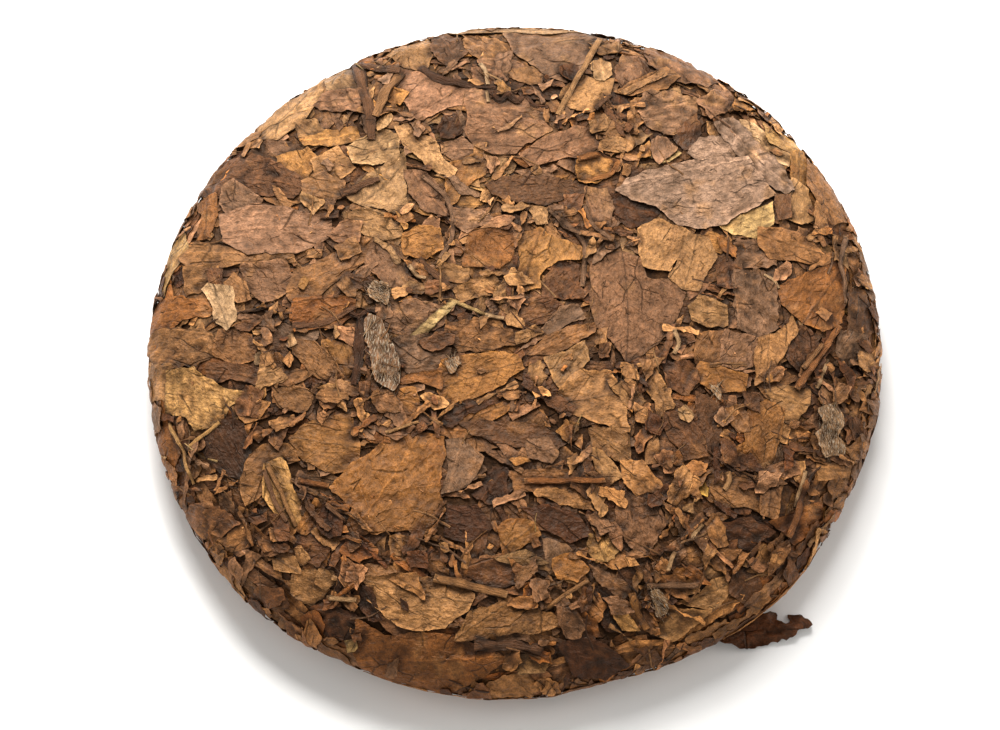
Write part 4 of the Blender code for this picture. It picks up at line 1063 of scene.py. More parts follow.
# downy buds: tone, look, corners, the way the hairs lie, how many hairs
downyBuds = [
    ("grey", "crumpled", [(-41, 13), (-39, 15), (-36, 13), (-34, 8), (-31.5, 2), (-31, -5), (-33, -8),
                          (-37, -5), (-39.5, 3)], ((-35.5, 14), (-38, -7)), 70),
    ("silver", "crumpled", [(-40.5, 21), (-38, 25), (-34.5, 24), (-33, 20), (-34.5, 17.5), (-38, 18.5)],
     ((-40, 24), (-34, 18)), 42),
    ("silver", "crumpled", [(82, -13), (87, -11), (89, -16), (88, -21), (89, -26), (84, -27), (81, -21),
                            (83, -17)], ((85, -12), (86, -26)), 60),
    ("silver", "flat", [(53, -7), (55, -6), (56, -8), (56, -11), (54, -9)], ((54, -6), (56, -11)), 12),
    ("silver", "ragged", [(36.5, -66.5), (39, -66), (41.5, -70), (41, -74), (37.5, -73), (37.5, -70)],
     ((37, -67), (41, -72)), 26),
    ("silver", "ragged", [(-18, 2), (-15.5, 3), (-14.5, 0), (-17, -2.5), (-19, -0.5)],
     ((-18, 2), (-16, -2)), 14),
]

crownMix = {"brown": 28, "mauve": 18, "tan": 18, "rust": 7, "plum": 14, "gold": 6, "paleTan": 5, "grey": 3,
            "black": 4, "ochre": 3, "paleMauve": 3}
crumbMix = {"brown": 30, "mauve": 20, "tan": 16, "rust": 5, "plum": 18, "gold": 3, "paleTan": 3, "grey": 8,
            "black": 8}
rimMix = {"brown": 34, "mauve": 18, "tan": 22, "rust": 8, "plum": 10, "paleTan": 6, "black": 2}
fibreMix = {"tan": 14, "paleTan": 6, "grey": 16, "brown": 26, "plum": 24, "cream": 3, "olive": 3, "black": 10}
edgeMix = {"brown": 30, "mauve": 20, "tan": 14, "rust": 10, "plum": 16, "black": 5, "paleTan": 3, "grey": 3}


goldenAngle = math.radians(137.508)  # each next leaf by rule is turned on by this much
goldenShare = 0.381966

undersideLayer = {"count": 270, "reach": 103, "jitter": 0.2, "length": (16, 34), "width": (10, 19),
                  "spacing": 1.7, "looks": ("broad", "flat", "crumpled"), "shuffled": True, "seed": 23}
lowerLayer = {"count": 300, "reach": 106, "jitter": 0.2, "length": (13, 27), "width": (8, 16),
              "spacing": 1.4, "looks": ("broad", "crumpled", "ragged", "flat"), "shuffled": False, "seed": 5}


def coverFace(pile, field, rule):
    # one layer all over a face, so that nothing of the core shows between the leaves
    draw = random.Random(rule["seed"])
    order = list(range(rule["count"]))
    if rule["shuffled"]:
        draw.shuffle(order)
    for number in order:
        away = rule["reach"] * math.sqrt((number + 0.5) / rule["count"])
        angle = number * goldenAngle + draw.uniform(-rule["jitter"], rule["jitter"])
        corners = leafCorners(polar(away, angle), draw.uniform(*rule["length"]), draw.uniform(*rule["width"]),
                              draw.uniform(0, math.pi), draw.choice(("whole", "shard", "shard")), draw)
        if not field["under"]:
            corners = stretchRim(corners)
        layLeaf(pile, field, corners, pickTone(draw, crownMix), draw.choice(rule["looks"]), draw,
                spacing=rule["spacing"])


def wrapEdge(pile, field):
    # narrow leaves lie along the rounded edge, layer on layer
    # painted light: the edge leaves are painted 1.6 times lighter, standing in for light on the rounded edge
    rule = {"count": 300, "band": (92, 120), "length": (10, 32), "width": (1.4, 6.5), "slant": 0.16,
            "jitter": 0.05, "bright": 1.6, "seed": 17}
    draw = random.Random(rule["seed"])
    for number in range(rule["count"]):
        angle = 2 * math.pi * number * goldenShare + draw.uniform(-rule["jitter"], rule["jitter"])
        middle = polar(draw.uniform(*rule["band"]), angle)
        turn = angle + math.pi / 2 + draw.gauss(0, rule["slant"])
        corners = leafCorners(middle, draw.uniform(*rule["length"]), draw.uniform(*rule["width"]),
                              turn, draw.choice(("strip", "whole", "shard")), draw)
        layLeaf(pile, field, stretchRim(corners), pickTone(draw, edgeMix),
                draw.choice(("pressed", "pressed", "crumpled")), draw, spacing=1.25, bright=rule["bright"])


def layCrownLeaves(pile, field):
    rule = {"spacing": 0.8, "seed": 31}
    draw = random.Random(rule["seed"])
    for number, (tone, look, corners, *rib) in enumerate(crownLeaves):
        rib = [ontoCrown(*end) for end in rib[0]] if rib else None
        layLeaf(pile, field, [ontoCrown(*corner) for corner in corners], tone, look, draw,
                spacing=rule["spacing"], rib=rib, mark=number + 1)


# what differs between cut stems and rolled leaves, and the seed of stems and buds
stemSeed = 47
stemSorts = {
    "stem": {"girth": 0.8, "sides": 10, "flat": 0.75, "ridges": 0.1, "taper": 0.85, "sink": 0.55},
    "roll": {"girth": 1.0, "sides": 14, "flat": 0.55, "ridges": 0.24, "taper": 0.65, "sink": 0.5,
             "twist": (0.6, 1.6)},
}


def layCrownStems(pile, field, draw):
    for sort, tone, radius, path in crownStems:
        placed = [ontoCrown(*spot) for spot in path]
        shape = dict(stemSorts[sort])
        radius *= shape.pop("girth")
        if sort == "stem":
            shape["endTone"] = "paleTan" if tone in ("rust", "tan", "grey") else None
        else:
            shape["twist"] = draw.uniform(*shape["twist"])
        layTube(pile, field, placed, radius, tone, draw, **shape)


def layBuds(pile, field, draw):
    for tone, look, corners, rib, hairs in downyBuds:
        placed = np.array([ontoCrown(*corner) for corner in corners])
        start, end = (np.array(ontoCrown(*spot)) for spot in rib)
        layLeaf(pile, field, placed, tone, look, draw, spacing=0.6, rib=(start, end), roundness=0.4, lift=0.1)
        layHairs(pile, field, placed, end - start, hairs, draw)


def threadPath(spot, turn, length, bend):
    # three places along a thread: its ends, and its middle pushed to one side
    way = np.array([math.cos(turn), math.sin(turn)]) * length / 2
    return [spot - way, spot + np.array([-way[1], way[0]]) * bend, spot + way]


def layHairs(pile, field, corners, ahead, count, draw):
    # fine pale hairs lying nearly side by side on a bud
    hair = {"length": (2.4, 6.5), "radius": (0.08, 0.16), "fan": 0.42, "bend": 0.2, "bright": (0.75, 1.5),
            "share": 0.8, "edge": 0.2, "tones": ("cream", "silver", "silver", "grey")}
    low, high = corners.min(axis=0), corners.max(axis=0)
    turn = math.atan2(ahead[1], ahead[0])
    laid = 0
    while laid < count * hair["share"]:
        spot = np.array([draw.uniform(low[0], high[0]), draw.uniform(low[1], high[1])])
        if signedDistance(spot[:1], spot[1:], corners)[0] < hair["edge"]:
            continue
        path = threadPath(spot, turn + draw.gauss(0, hair["fan"]), draw.uniform(*hair["length"]),
                          draw.uniform(-hair["bend"], hair["bend"]))
        layTube(pile, field, path, draw.uniform(*hair["radius"]), draw.choice(hair["tones"]), draw,
                sides=4, flat=0.7, sink=0.2, taper=0.5, bright=draw.uniform(*hair["bright"]))
        laid += 1


def scatterShards(pile, field):
    # torn bits and shreds between the big leaves
    rule = {"tries": 760, "reach": 106, "length": (5, 15), "breadth": (0.4, 0.85), "shredLength": (8, 20),
            "shredWidth": (1.0, 2.6), "shredShare": 0.25, "bright": (0.95, 1.7), "seed": 61}
    draw = random.Random(rule["seed"])
    for _ in range(rule["tries"]):
        away = rule["reach"] * math.sqrt(draw.random())
        middle = polar(away, draw.uniform(0, 2 * math.pi))
        turn = draw.uniform(0, math.pi)
        if draw.random() < rule["shredShare"]:
            length, width = draw.uniform(*rule["shredLength"]), draw.uniform(*rule["shredWidth"])
            sort = "strip"
        else:
            length = draw.uniform(*rule["length"])
            width, sort = length * draw.uniform(*rule["breadth"]), "shard"
        corners = leafCorners(middle, length, width, turn, sort, draw)
        layLeaf(pile, field, corners, pickTone(draw, crumbMix), draw.choice(("crumpled", "ragged", "flat")),
                draw, spacing=1.0, bright=draw.uniform(*rule["bright"]))


def scatterShreds(pile, field):
    # chips, thin shreds and specks that lie in the hollows and seams between the big leaves
    rule = {"rounds": 7, "tries": 560, "reach": 104, "deep": 0.45, "shallow": 0.34, "onTop": 0.01,
            "covered": 0.3, "chipShare": 0.6, "chip": (5, 14), "chipBreadth": (0.35, 0.7),
            "speckShare": 0.12, "speck": (1.6, 4.0), "speckBreadth": (0.5, 0.9), "length": (4, 13),
            "width": (0.7, 1.8), "bright": (0.9, 1.65), "seed": 67}
    draw = random.Random(rule["seed"])
    taken = (field["taken"] > 0).astype(float)
    for _ in range(rule["rounds"]):
        around = spread(spread(field["cells"], 5, np.maximum), 2, None)
        depth = around - field["cells"]
        for _ in range(rule["tries"]):
            away = rule["reach"] * math.sqrt(draw.random())
            middle = polar(away, draw.uniform(0, 2 * math.pi))
            if (readField(field, depth, [middle[0]], [middle[1]])[0] < rule["deep"]
                    and draw.random() > rule["shallow"]):
                continue
            kind = draw.random()
            if kind < rule["chipShare"]:
                length = draw.uniform(*rule["chip"])
                width, sort = length * draw.uniform(*rule["chipBreadth"]), "shard"
            elif kind < rule["chipShare"] + rule["speckShare"]:
                length = draw.uniform(*rule["speck"])
                width, sort = length * draw.uniform(*rule["speckBreadth"]), "shard"
            else:
                length, width, sort = draw.uniform(*rule["length"]), draw.uniform(*rule["width"]), "strip"
            corners = np.array(leafCorners(middle, length, width, draw.uniform(0, math.pi), sort, draw))
            covered = readField(field, taken, corners[:, 0], corners[:, 1]).mean()
            if covered > rule["covered"] and draw.random() > rule["onTop"]:
                continue
            layLeaf(pile, field, corners, pickTone(draw, crumbMix), draw.choice(("crumpled", "ragged")),
                    draw, spacing=0.85, bright=draw.uniform(*rule["bright"]))


def layRimStrips(pile, field):
    # long thin layers end on along the rounded edge, higher up at the front
    # painted light: the strips are painted up to 1.75 times lighter, standing in for light on the rounded
    # edge
    rule = {"count": 190, "frontBand": (104, 120), "band": (113, 121), "front": (-140, -15),
            "length": (12, 42), "width": (0.8, 2.6), "stations": (0, 0.3, 0.7, 1), "spread": (0.4, 1.2),
            "lean": 0.06, "jitter": 0.05, "bright": (1.0, 1.75), "seed": 83}
    draw = random.Random(rule["seed"])
    for number in range(rule["count"]):
        angle = 2 * math.pi * number * goldenShare + draw.uniform(-rule["jitter"], rule["jitter"])
        angle = math.remainder(angle, 2 * math.pi)
        atFront = rule["front"][0] < math.degrees(angle) < rule["front"][1]
        away = draw.uniform(*rule["frontBand" if atFront else "band"])
        length, width = draw.uniform(*rule["length"]), draw.uniform(*rule["width"])
        outer = [(s - 0.5, 0.5 * draw.uniform(*rule["spread"])) for s in rule["stations"]]
        inner = [(s - 0.5, -0.5 * draw.uniform(*rule["spread"])) for s in reversed(rule["stations"])]
        lean = draw.uniform(-rule["lean"], rule["lean"])
        corners = [polar(away + across * width + lean * along * length,
                         angle + along * length / cake["radius"]) for along, across in outer + inner]
        layLeaf(pile, field, corners, pickTone(draw, rimMix), "pressed", draw, spacing=0.9,
                bright=draw.uniform(*rule["bright"]), roundness=0.5)


def scatterFibres(pile, field):
    # fine threads and broken stalks
    rule = {"count": 110, "reach": 104, "length": (4, 12), "radius": (0.16, 0.36), "bend": 0.35,
            "covered": 0.4, "onTop": 0.06, "seed": 91}
    draw = random.Random(rule["seed"])
    taken = (field["taken"] > 0).astype(float)
    laid = 0
    while laid < rule["count"]:
        away = rule["reach"] * math.sqrt(draw.random())
        spot = np.array(polar(away, draw.uniform(0, 2 * math.pi)))
        if (readField(field, taken, spot[:1], spot[1:])[0] > rule["covered"]
                and draw.random() > rule["onTop"]):
            continue
        path = threadPath(spot, draw.uniform(0, math.pi), draw.uniform(*rule["length"]),
                          draw.uniform(-rule["bend"], rule["bend"]))
        layTube(pile, field, path, draw.uniform(*rule["radius"]), pickTone(draw, fibreMix), draw,
                sides=6, flat=0.6, ridges=0.12, taper=0.6, sink=0.3)
        laid += 1


# how flat the pile is pressed, harder at the rim (reach is in cells of its map, the rest
# in mm); the underside's map takes over between underFrom and underTo
pressing = {
    "reach": 4,
    "flatten": 0.95,
    "limit": 2.4,
    "edgeLimit": 0.7,
    "level": 0.75,
    "underFrom": 104.0,
    "underTo": 118.0,
    "rimStart": 98,
    "rimFade": 8,
    "rimEnd": 148,
    "rimEndFade": 10,
}
# painted shade in its hollows
paintedHollowShade = {
    "from": 0.24,
    "to": 1.1,
    "strength": 0.8,
    "tint": (0.9, 1.0, 1.15),
    "rimStart": 94,
    "rimFade": 10,
    "rimSpared": 0.6,
}


def settle(points, under):
    # the pile is pressed flat: its mean height is taken out, and each point put on the skin
    angle = np.arctan2(points[:, 1], points[:, 0])
    away = np.hypot(points[:, 0], points[:, 1])
    along = sectionLength - away if under else away
    underFrom, underTo = pressing["underFrom"], pressing["underTo"]
    share = np.clip((along - underFrom) / (underTo - underFrom), 0, 1)
    share = share * share * (3 - 2 * share)
    cosine, sine = np.cos(angle), np.sin(angle)
    crownMean = readField(crownField, crownField["mean"], along * cosine, along * sine)
    back = sectionLength - along
    underMean = readField(undersideField, undersideField["mean"], back * cosine, back * sine)
    mean = crownMean * (1 - share) + underMean * share
    stands = points[:, 2] - mean
    rimShare = np.clip((along - pressing["rimStart"]) / pressing["rimFade"], 0, 1)
    rimShare = rimShare * np.clip((pressing["rimEnd"] - along) / pressing["rimEndFade"], 0, 1)
    limit = pressing["limit"] * (1 - rimShare) + pressing["edgeLimit"] * rimShare
    pressed = stands * pressing["flatten"] / (1 + np.abs(stands) / limit)
    return skin(along * cosine, along * sine, pressed + pressing["level"])


def hollowShade(points, under):
    # painted shade: a point that lies below its neighbours is painted darker and warmer, less so at the rim
    field = undersideField if under else crownField
    around = readField(field, field["top"], points[:, 0], points[:, 1])
    depth = around - points[:, 2]
    deep = np.clip((depth - paintedHollowShade["from"]) / (paintedHollowShade["to"] - paintedHollowShade["from"]), 0, 1)
    outward = np.clip((np.hypot(points[:, 0], points[:, 1]) - paintedHollowShade["rimStart"]) / paintedHollowShade["rimFade"], 0, 1)
    light = 1 - paintedHollowShade["strength"] * deep * (1 - paintedHollowShade["rimSpared"] * outward)
    return np.column_stack([light ** power for power in paintedHollowShade["tint"]] + [np.ones(len(light))])


def makePiece(pile, material, pressed=True):
    points = np.concatenate(pile["points"])
    colour = np.concatenate(pile["tone"])
    if pressed:
        # painted shade in the hollows between leaves
        colour = colour * hollowShade(points, pile["under"])
        points = settle(points, pile["under"])
    points[:, 2] = np.maximum(points[:, 2], 0.0)
    faces = np.concatenate(pile["faces"])
    mesh = bpy.data.meshes.new(pile["name"])
    mesh.vertices.add(len(points))
    mesh.vertices.foreach_set("co", (points * metre).ravel())
    mesh.loops.add(len(faces) * 3)
    mesh.loops.foreach_set("vertex_index", faces.ravel().astype(np.int32))
    mesh.polygons.add(len(faces))
    mesh.polygons.foreach_set("loop_start", np.arange(0, len(faces) * 3, 3, dtype=np.int32))
    mesh.update(calc_edges=True)
    mesh.validate()
    mesh.shade_smooth()
    mesh.set_sharp_from_angle(angle=math.radians(60))
    tone = mesh.color_attributes.new("tone", "FLOAT_COLOR", "POINT")
    tone.data.foreach_set("color", colour.ravel())
    leafMap = mesh.uv_layers.new(name="leafMap")
    centimetre = 10
    leafMap.data.foreach_set("uv", (np.concatenate(pile["map"])[faces.ravel()] / centimetre).ravel())
    mesh.materials.append(material)
    thing = bpy.data.objects.new(pile["name"], mesh)
    bpy.context.scene.collection.objects.link(thing)
    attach(thing, "root")
    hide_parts("tea_cake")
    print(pile["name"], pile["pieces"], "pieces,", len(faces), "triangles")


def makeCore(material):
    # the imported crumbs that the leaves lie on
    core = {"rings": 84, "segments": 220, "sunk": 0.5, "crumbs": ((0.28, 1.6), (0.3, 3.5)),
            "tone": "brown", "dim": 0.6, "blotches": (0.3, 4), "pole": 0.01}
    segments = core["segments"]
    along = np.linspace(0, sectionLength, core["rings"])[1:-1]
    angle = np.arange(segments) * 2 * math.pi / segments
    x = (along[:, None] * np.cos(angle)).ravel()
    y = (along[:, None] * np.sin(angle)).ravel()
    (small, smallSize), (large, largeSize) = core["crumbs"]
    crumbs = small * flatHills(x, y, smallSize, 3) + large * flatHills(x, y, largeSize, 4)
    top, foot = [core["pole"], 0, -core["sunk"]], [sectionLength - core["pole"], 0, -core["sunk"]]
    places = np.concatenate([[top], np.column_stack([x, y, crumbs - core["sunk"]]), [foot]])
    count = len(along)
    index = np.arange(segments)
    after = (index + 1) % segments
    faces = [np.stack([index * 0, 1 + index, 1 + after], axis=1)]
    for ring in range(count - 1):
        a, b = 1 + ring * segments + index, 1 + ring * segments + after
        faces.append(np.stack([a, a + segments, b + segments], axis=1))
        faces.append(np.stack([a, b + segments, b], axis=1))
    last = 1 + (count - 1) * segments
    faces.append(np.stack([last + index, index * 0 + len(places) - 1, last + after], axis=1))
    colour = np.tile(np.append(toneColour(core["tone"]) * core["dim"], 0), (len(places), 1))
    depth, size = core["blotches"]
    colour[:, :3] *= (1 + depth * flatHills(places[:, 0], places[:, 1], size, 9))[:, None]
    pile = newPile("packedCore")
    addToPile(pile, places, np.concatenate(faces), colour, places[:, :2].copy())
    makePiece(pile, material)


def makeTornLeaf(material):
    # the loose leaf end that sticks out from under the front right edge, near the floor
    leaf = {
        "outline": [(52, -80), (58, -82), (61, -83), (64.5, -82.6), (68, -82.2), (70.5, -81), (73.5, -80.6),
                    (76, -79.3), (77.4, -77.6), (80, -76.2), (78.4, -74.4), (77.2, -73), (75.2, -73.2),
                    (74.2, -73), (74.4, -75), (72.6, -75.9), (70.4, -75), (70.6, -72.8), (68, -73),
                    (64, -74.6), (58, -75), (53, -76)],
        "height": 1.5,
        "least": 0.05,
        "wave": (1.0, 6),
        "crumple": (0.8, 1.6, 3.0, 0.7),
        "thickness": 0.3,
        "tone": "plum",
        "stained": (1.0, 0.8, 0.72),
        "stains": (0.72, (0.3, 3), (0.25, 1.2)),
        "edge": {"wave": 0.35, "tear": 0.5},
        "spacing": 0.6,
        "seed": 77,
    }
    placed = []
    for x, y in leaf["outline"]:
        line = sightLine(x, y)
        walk = (leaf["height"] - eye[2]) / line[2]
        placed.append((eye + line * walk)[:2])
    outline = roughEdge(np.array(placed), leaf["edge"], random.Random(leaf["seed"]), 0.5)
    rows = np.arange(outline[:, 1].min(), outline[:, 1].max(), leaf["spacing"])
    columns = np.arange(outline[:, 0].min(), outline[:, 0].max(), leaf["spacing"])
    gx, gy = (g.ravel() for g in np.meshgrid(columns, rows))
    keep = signedDistance(gx, gy, outline) > leaf["spacing"] * 0.5
    flat, faces = fillOutline(outline, zip(gx[keep], gy[keep]))
    x, y = flat[:, 0], flat[:, 1]
    wave, waveSize = leaf["wave"]
    level = leaf["height"] + wave * flatHills(x, y, waveSize, 5)
    crumple, sharp, crumpleSize, stretch = leaf["crumple"]
    level = level + crumple * (0.5 - np.abs(flatHills(x * stretch, y, crumpleSize, 6)) * sharp)
    level = np.maximum(level, leaf["least"])
    base, (large, largeSize), (small, smallSize) = leaf["stains"]
    stain = base + large * flatHills(x, y, largeSize, 8) + small * flatHills(x, y, smallSize, 9)
    colour = toneColour(leaf["tone"]) * np.array(leaf["stained"]) * stain[:, None]
    colour = np.column_stack([colour, np.zeros(len(flat))])
    pile = newPile("tornLeaf")
    upper = np.column_stack([flat, level + leaf["thickness"]])
    lower = np.column_stack([flat, level])
    addToPile(pile, np.concatenate([upper, lower]), closedSheet(faces, len(flat)),
              np.concatenate([colour, colour]), np.concatenate([flat, flat]))
    makePiece(pile, material, pressed=False)


finishes = {
    "dryLeaf": {"roughness": 0.55, "gloss": 0.27, "bump": 1.0, "foldStretch": 1.5, "grainStretch": 2.2},
    "dryStem": {"roughness": 0.6, "gloss": 0.35, "bump": 0.8, "foldStretch": 7.0, "grainStretch": 7.0},
    "downyBud": {"roughness": 0.75, "gloss": 0.25, "bump": 1.0, "foldStretch": 3.5, "grainStretch": 6.0,
                 "down": 0.85, "downColour": (0.40, 0.32, 0.23, 1)},
    "packedDust": {"roughness": 0.8, "gloss": 0.2, "bump": 1.0, "foldStretch": 1.2, "grainStretch": 1.2},
}

# the pattern that all finishes share; the map is in centimetres
leafPattern = {
    "waver": {"scale": 4.0, "along": 0.14, "across": 0.08},
    "rib": 0.045,
    "sideVein": {"slant": 0.75, "gap": 0.29, "width": 0.022},
    "longCrease": {"stretch": 1.9, "scale": 0.75, "width": 0.035, "depth": 1.0, "patch": 0.8,
                   "from": 0.52, "to": 0.58},
    "shortCrease": {"stretch": 1.4, "scale": 2.0, "width": 0.07, "depth": 0.85, "patch": 2.1,
                    "from": 0.61, "to": 0.67},
    "creaseBend": 0.25,
    "specularTint": (1.0, 0.84, 0.68, 1),
    "roughnessSwing": (0.12, -0.1),
    # darkest and lightest share of each layer of the colour; the crease share is painted shade in the
    # creases, the crinkle share painted light and shade on the crinkle
    "mottleShade": (0.76, 1.24),
    "grainShade": (0.72, 1.34),
    "crinkleShade": (0.7, 1.36),
    "creaseShade": 0.42,
    "speckShade": 0.7,
    "veinShade": 0.45,
    # heights in millimetres
    "foldHeight": 0.22,
    "crinkleHeight": 0.42,
    "mottleHeight": 0.5,
    "creaseHeight": -0.34,
    "veinHeight": 0.12,
    "grainHeight": 0.1,
}


def leafMaterial(name):
    finish, pattern = finishes[name], leafPattern
    material = bpy.data.materials.new(name)
    material.use_nodes = True
    tree = material.node_tree
    shader = tree.nodes["Principled BSDF"]
    link = tree.links.new

    def feed(socket, value):
        if isinstance(value, (int, float)):
            socket.default_value = value
        else:
            link(value, socket)

    def sums(operation, *values):
        node = tree.nodes.new("ShaderNodeMath")
        node.operation = operation
        for socket, value in zip(node.inputs, values):
            feed(socket, value)
        return node.outputs[0]

    def remap(value, low, high, toLow, toHigh):
        node = tree.nodes.new("ShaderNodeMapRange")
        for number, given in enumerate((value, low, high, toLow, toHigh)):
            feed(node.inputs[number], given)
        return node.outputs[0]

    def noise(vector, scale, detail, roughness=0.55, output=0):
        node = tree.nodes.new("ShaderNodeTexNoise")
        node.noise_dimensions = "2D"
        feed(node.inputs["Vector"], vector)
        feed(node.inputs["Scale"], scale)
        feed(node.inputs["Detail"], detail)
        feed(node.inputs["Roughness"], roughness)
        return node.outputs[output]

    def cellEdges(vector, scale):
        node = tree.nodes.new("ShaderNodeTexVoronoi")
        node.voronoi_dimensions = "2D"
        node.feature = "DISTANCE_TO_EDGE"
        feed(node.inputs["Vector"], vector)
        feed(node.inputs["Scale"], scale)
        return node.outputs["Distance"]

    def stretched(vector, across):
        node = tree.nodes.new("ShaderNodeMapping")
        link(vector, node.inputs["Vector"])
        node.inputs["Scale"].default_value = (1.0, across, 1.0)
        return node.outputs[0]

    tone = tree.nodes.new("ShaderNodeVertexColor")
    tone.layer_name = "tone"
    place = tree.nodes.new("ShaderNodeUVMap")
    place.uv_map = "leafMap"
    place = place.outputs[0]
    apart = tree.nodes.new("ShaderNodeSeparateXYZ")
    link(place, apart.inputs[0])

    # a little waver, so that no line is ruled
    waver = pattern["waver"]
    wavering = noise(place, waver["scale"], 2.0)
    along = sums("MULTIPLY_ADD", wavering, waver["along"], apart.outputs["X"])
    centred = sums("SUBTRACT", apart.outputs["Y"], waver["across"] / 2)
    across = sums("ABSOLUTE", sums("MULTIPLY_ADD", wavering, waver["across"], centred))

    # rib and side veins
    rib = remap(across, 0.0, pattern["rib"], 1.0, 0.0)
    side = pattern["sideVein"]
    slanted = sums("SUBTRACT", along, sums("MULTIPLY", across, side["slant"]))
    sideVein = remap(sums("PINGPONG", slanted, side["gap"]), 0.0, side["width"], 1.0, 0.0)
    patchy = remap(noise(place, 1.7, 1.0), 0.42, 0.58, 0.15, 1.0)
    vein = sums("MAXIMUM", rib, sums("MULTIPLY", sideVein, patchy))

    # sharp creases: edges of large and small cells, only in places
    bent = tree.nodes.new("ShaderNodeVectorMath")
    bent.operation = "MULTIPLY_ADD"
    link(noise(place, 1.2, 2.0, 0.5, "Color"), bent.inputs[0])
    bent.inputs[1].default_value = (pattern["creaseBend"], pattern["creaseBend"], 0.0)
    link(place, bent.inputs[2])

    def creases(sort):
        edges = cellEdges(stretched(bent.outputs[0], sort["stretch"]), sort["scale"])
        line = remap(edges, 0.0, sort["width"], sort["depth"], 0.0)
        patches = remap(noise(place, sort["patch"], 2.0), sort["from"], sort["to"], 0.0, 1.0)
        return sums("MULTIPLY", line, patches)

    crease = sums("MAXIMUM", creases(pattern["longCrease"]), creases(pattern["shortCrease"]))

    # soft crumples, a faint crinkle and specks
    folded = noise(stretched(place, finish["foldStretch"]), 1.8, 2.0, 0.5)
    folds = remap(sums("ABSOLUTE", sums("SUBTRACT", folded, 0.5)), 0.0, 0.14, 1.0, 0.0)
    crinkle = noise(stretched(place, finish["foldStretch"]), 6.0, 3.0, 0.6)
    mottle = noise(place, 1.6, 4.0, 0.6)
    grain = noise(stretched(place, finish["grainStretch"]), 20.0, 2.0, 0.6)
    speck = remap(noise(place, 7.0, 2.0, 0.5), 0.64, 0.7, 0.0, 1.0)

    # painted shade and light: the creases are painted dark, and the crinkle is painted lighter where it rises
    # in the bump and darker where it dips
    shade = remap(mottle, 0.3, 0.7, *pattern["mottleShade"])
    for layer, low, high, shades in ((grain, 0.3, 0.7, pattern["grainShade"]),
                                     (crinkle, 0.3, 0.7, pattern["crinkleShade"]),
                                     (crease, 0.0, 1.0, (1.0, pattern["creaseShade"])),
                                     (speck, 0.0, 1.0, (1.0, pattern["speckShade"]))):
        shade = sums("MULTIPLY", shade, remap(layer, low, high, *shades))
    veinTurn = remap(tone.outputs["Alpha"], 0.0, 1.0, -pattern["veinShade"], pattern["veinShade"])
    shade = sums("MULTIPLY", shade, sums("MULTIPLY_ADD", vein, veinTurn, 1.0))
    colour = tree.nodes.new("ShaderNodeVectorMath")
    colour.operation = "SCALE"
    link(tone.outputs["Color"], colour.inputs[0])
    link(shade, colour.inputs["Scale"])
    last = colour.outputs[0]
    if "down" in finish:
        # pale down in streaks
        down = remap(noise(stretched(place, 6.0), 7.0, 3.0), 0.5, 0.64, 0.0, finish["down"])
        mix = tree.nodes.new("ShaderNodeMix")
        mix.data_type = "RGBA"
        sockets = {socket.identifier: socket for socket in mix.inputs}
        link(down, sockets["Factor_Float"])
        link(last, sockets["A_Color"])
        sockets["B_Color"].default_value = finish["downColour"]
        last = next(socket for socket in mix.outputs if socket.identifier == "Result_Color")
    link(last, shader.inputs["Base Color"])

    dull, glossy = pattern["roughnessSwing"]
    link(remap(mottle, 0.3, 0.7, finish["roughness"] + dull, finish["roughness"] + glossy),
         shader.inputs["Roughness"])
    shader.inputs["Specular IOR Level"].default_value = finish["gloss"]
    shader.inputs["Specular Tint"].default_value = pattern["specularTint"]

    height = sums("MULTIPLY", folds, pattern["foldHeight"])
    for layer, share in ((crinkle, "crinkleHeight"), (mottle, "mottleHeight"), (crease, "creaseHeight"),
                         (vein, "veinHeight"), (grain, "grainHeight")):
        height = sums("MULTIPLY_ADD", layer, pattern[share], height)
    bump = tree.nodes.new("ShaderNodeBump")
    bump.inputs["Strength"].default_value = finish["bump"]
    bump.inputs["Distance"].default_value = metre
    link(height, bump.inputs["Height"])
    link(bump.outputs[0], shader.inputs["Normal"])
    return material


def makeStage():
    stage = {"size": 6.0, "colour": (0.93, 0.93, 0.925, 1), "roughness": 0.75}
    material = bpy.data.materials.new("paleFloor")
    material.use_nodes = True
    shader = material.node_tree.nodes["Principled BSDF"]
    shader.inputs["Base Color"].default_value = stage["colour"]
    shader.inputs["Roughness"].default_value = stage["roughness"]
    mesh = bpy.data.meshes.new("floor")
    half = stage["size"] / 2
    mesh.from_pydata([(-half, -half, 0), (half, -half, 0), (half, half, 0), (-half, half, 0)], [],
                     [(0, 1, 2, 3)])
    mesh.materials.append(material)
    floor = bpy.data.objects.new("floor", mesh)
    bpy.context.scene.collection.objects.link(floor)


def aimAt(thing, target):
    aim = target - thing.location
    thing.rotation_euler = aim.to_track_quat("-Z", "Y").to_euler()
    bpy.context.scene.collection.objects.link(thing)


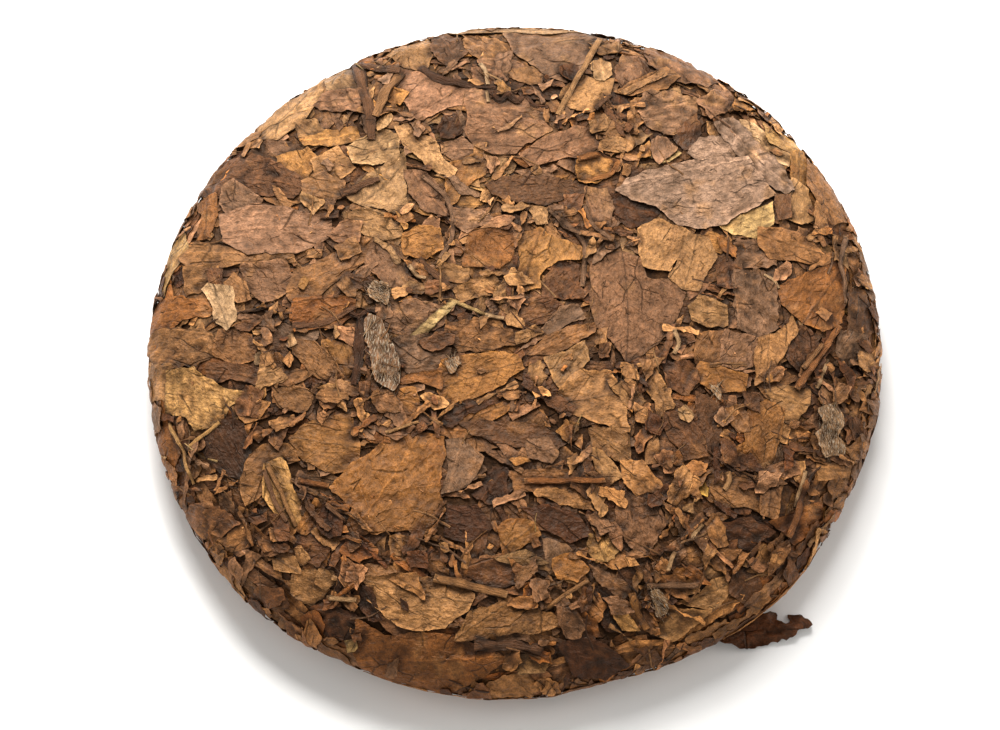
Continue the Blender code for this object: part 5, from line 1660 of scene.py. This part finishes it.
def makeLights():
    # name, place, size, power, colour
    lamps = [
        ("backKey", (-0.14, 0.46, 0.42), 0.3, 5.2, (1.0, 0.98, 0.955)),
        ("backSheen", (0.06, 0.33, 0.50), 0.24, 2.2, (1.0, 0.985, 0.97)),
        ("rightFill", (0.9, 0.1, 0.35), 0.6, 2.9, (1.0, 0.975, 0.94)),
        ("leftFill", (-0.9, 0.0, 0.35), 0.6, 1.6, (1.0, 0.975, 0.94)),
        ("frontFill", (-0.2, -0.9, 0.26), 0.6, 1.6, (1.0, 0.97, 0.92)),
    ]
    room = {"colour": (1, 0.985, 0.955, 1), "strength": 0.42}
    target = Vector((0, 0, 0.01))
    for name, place, size, power, colour in lamps:
        light = bpy.data.lights.new(name, "AREA")
        light.shape = "DISK"
        light.size = size
        light.energy = power
        light.color = colour
        lamp = bpy.data.objects.new(name, light)
        lamp.location = place
        aimAt(lamp, target)
    world = bpy.data.worlds.new("softRoom")
    world.use_nodes = True
    background = world.node_tree.nodes["Background"]
    background.inputs["Color"].default_value = room["colour"]
    background.inputs["Strength"].default_value = room["strength"]
    bpy.context.scene.world = world


def makeCamera():
    data = bpy.data.cameras.new("frontView")
    data.sensor_width = view["sensor"]
    data.lens = view["sensor"] * view["distance"] / view["pictureWidth"]
    data.clip_start = view["clipStart"]
    camera = bpy.data.objects.new("frontView", data)
    camera.location = Vector(eye * metre)
    aimAt(camera, Vector(lookAt * metre))
    bpy.context.scene.camera = camera
    bpy.context.scene.view_settings.view_transform = "Standard"


# the edge is on both maps, and each takes heights over from the other there: from and to
# are measured from the middle of the crown, clear from the middle of the underside
sharedEdge = {"crownFrom": 94, "undersideTo": 122, "crownClear": 5, "undersideClear": 10}


def mapPlaces(field):
    # every place of a map, and how far it is from the middle
    axis = np.arange(field["cells"].shape[0]) * field["step"] - field["half"]
    x, y = np.meshgrid(axis, axis, indexing="ij")
    return x, y, np.hypot(x, y)


def readAcross(other, x, y, away):
    # the heights that the other map holds for these places
    ratio = (sectionLength - away) / away
    return readField(other, other["cells"], x * ratio, y * ratio)


def smoothField(field):
    # the mean height of the pile, and its local top
    mean = field["cells"]
    for _ in range(3):
        mean = spread(mean, pressing["reach"], None)
    field["mean"] = mean
    field["top"] = spread(spread(field["cells"], 2, np.maximum), 1, None)


makeCamera()
makeLights()
makeStage()

# the cake, from the inside out
crownField = makeField(heightMaps["crown"])
undersideField = makeField(heightMaps["underside"], under=True)
piles = {name: newPile(name, under=name == "undersideLeaves")
         for name in ("undersideLeaves", "lowerLeaves", "edgeLeaves", "crownLeaves", "tornBits",
                      "thinShreds", "stems", "buds")}

coverFace(piles["undersideLeaves"], undersideField, undersideLayer)
print("underside laid")

# the edge is on both maps, so the crown's map starts from what the underside's holds there
x, y, away = mapPlaces(crownField)
shared = (away > sharedEdge["crownFrom"]) & (sectionLength - away > sharedEdge["crownClear"])
crownField["cells"][shared] = readAcross(undersideField, x[shared], y[shared], away[shared])

coverFace(piles["lowerLeaves"], crownField, lowerLayer)
print("first layer laid")
scatterShards(piles["tornBits"], crownField)
wrapEdge(piles["edgeLeaves"], crownField)
print("edge laid")
layCrownLeaves(piles["crownLeaves"], crownField)
scatterShreds(piles["thinShreds"], crownField)
layRimStrips(piles["edgeLeaves"], crownField)
draw = random.Random(stemSeed)
layCrownStems(piles["stems"], crownField, draw)
layBuds(piles["buds"], crownField, draw)
scatterFibres(piles["stems"], crownField)
print("crown laid")

# the same heights on both maps at the edge
x, y, away = mapPlaces(undersideField)
shared = (sectionLength - away < sharedEdge["undersideTo"]) & (away > sharedEdge["undersideClear"])
fromCrown = readAcross(crownField, x[shared], y[shared], away[shared])
undersideField["cells"][shared] = np.maximum(undersideField["cells"][shared], fromCrown)
smoothField(crownField)
smoothField(undersideField)

makeCore(leafMaterial("packedDust"))
dryLeaf = leafMaterial("dryLeaf")
pieceMaterials = {"stems": leafMaterial("dryStem"), "buds": leafMaterial("downyBud")}
for name, pile in piles.items():
    makePiece(pile, pieceMaterials.get(name, dryLeaf))
makeTornLeaf(dryLeaf)
print("cake made")
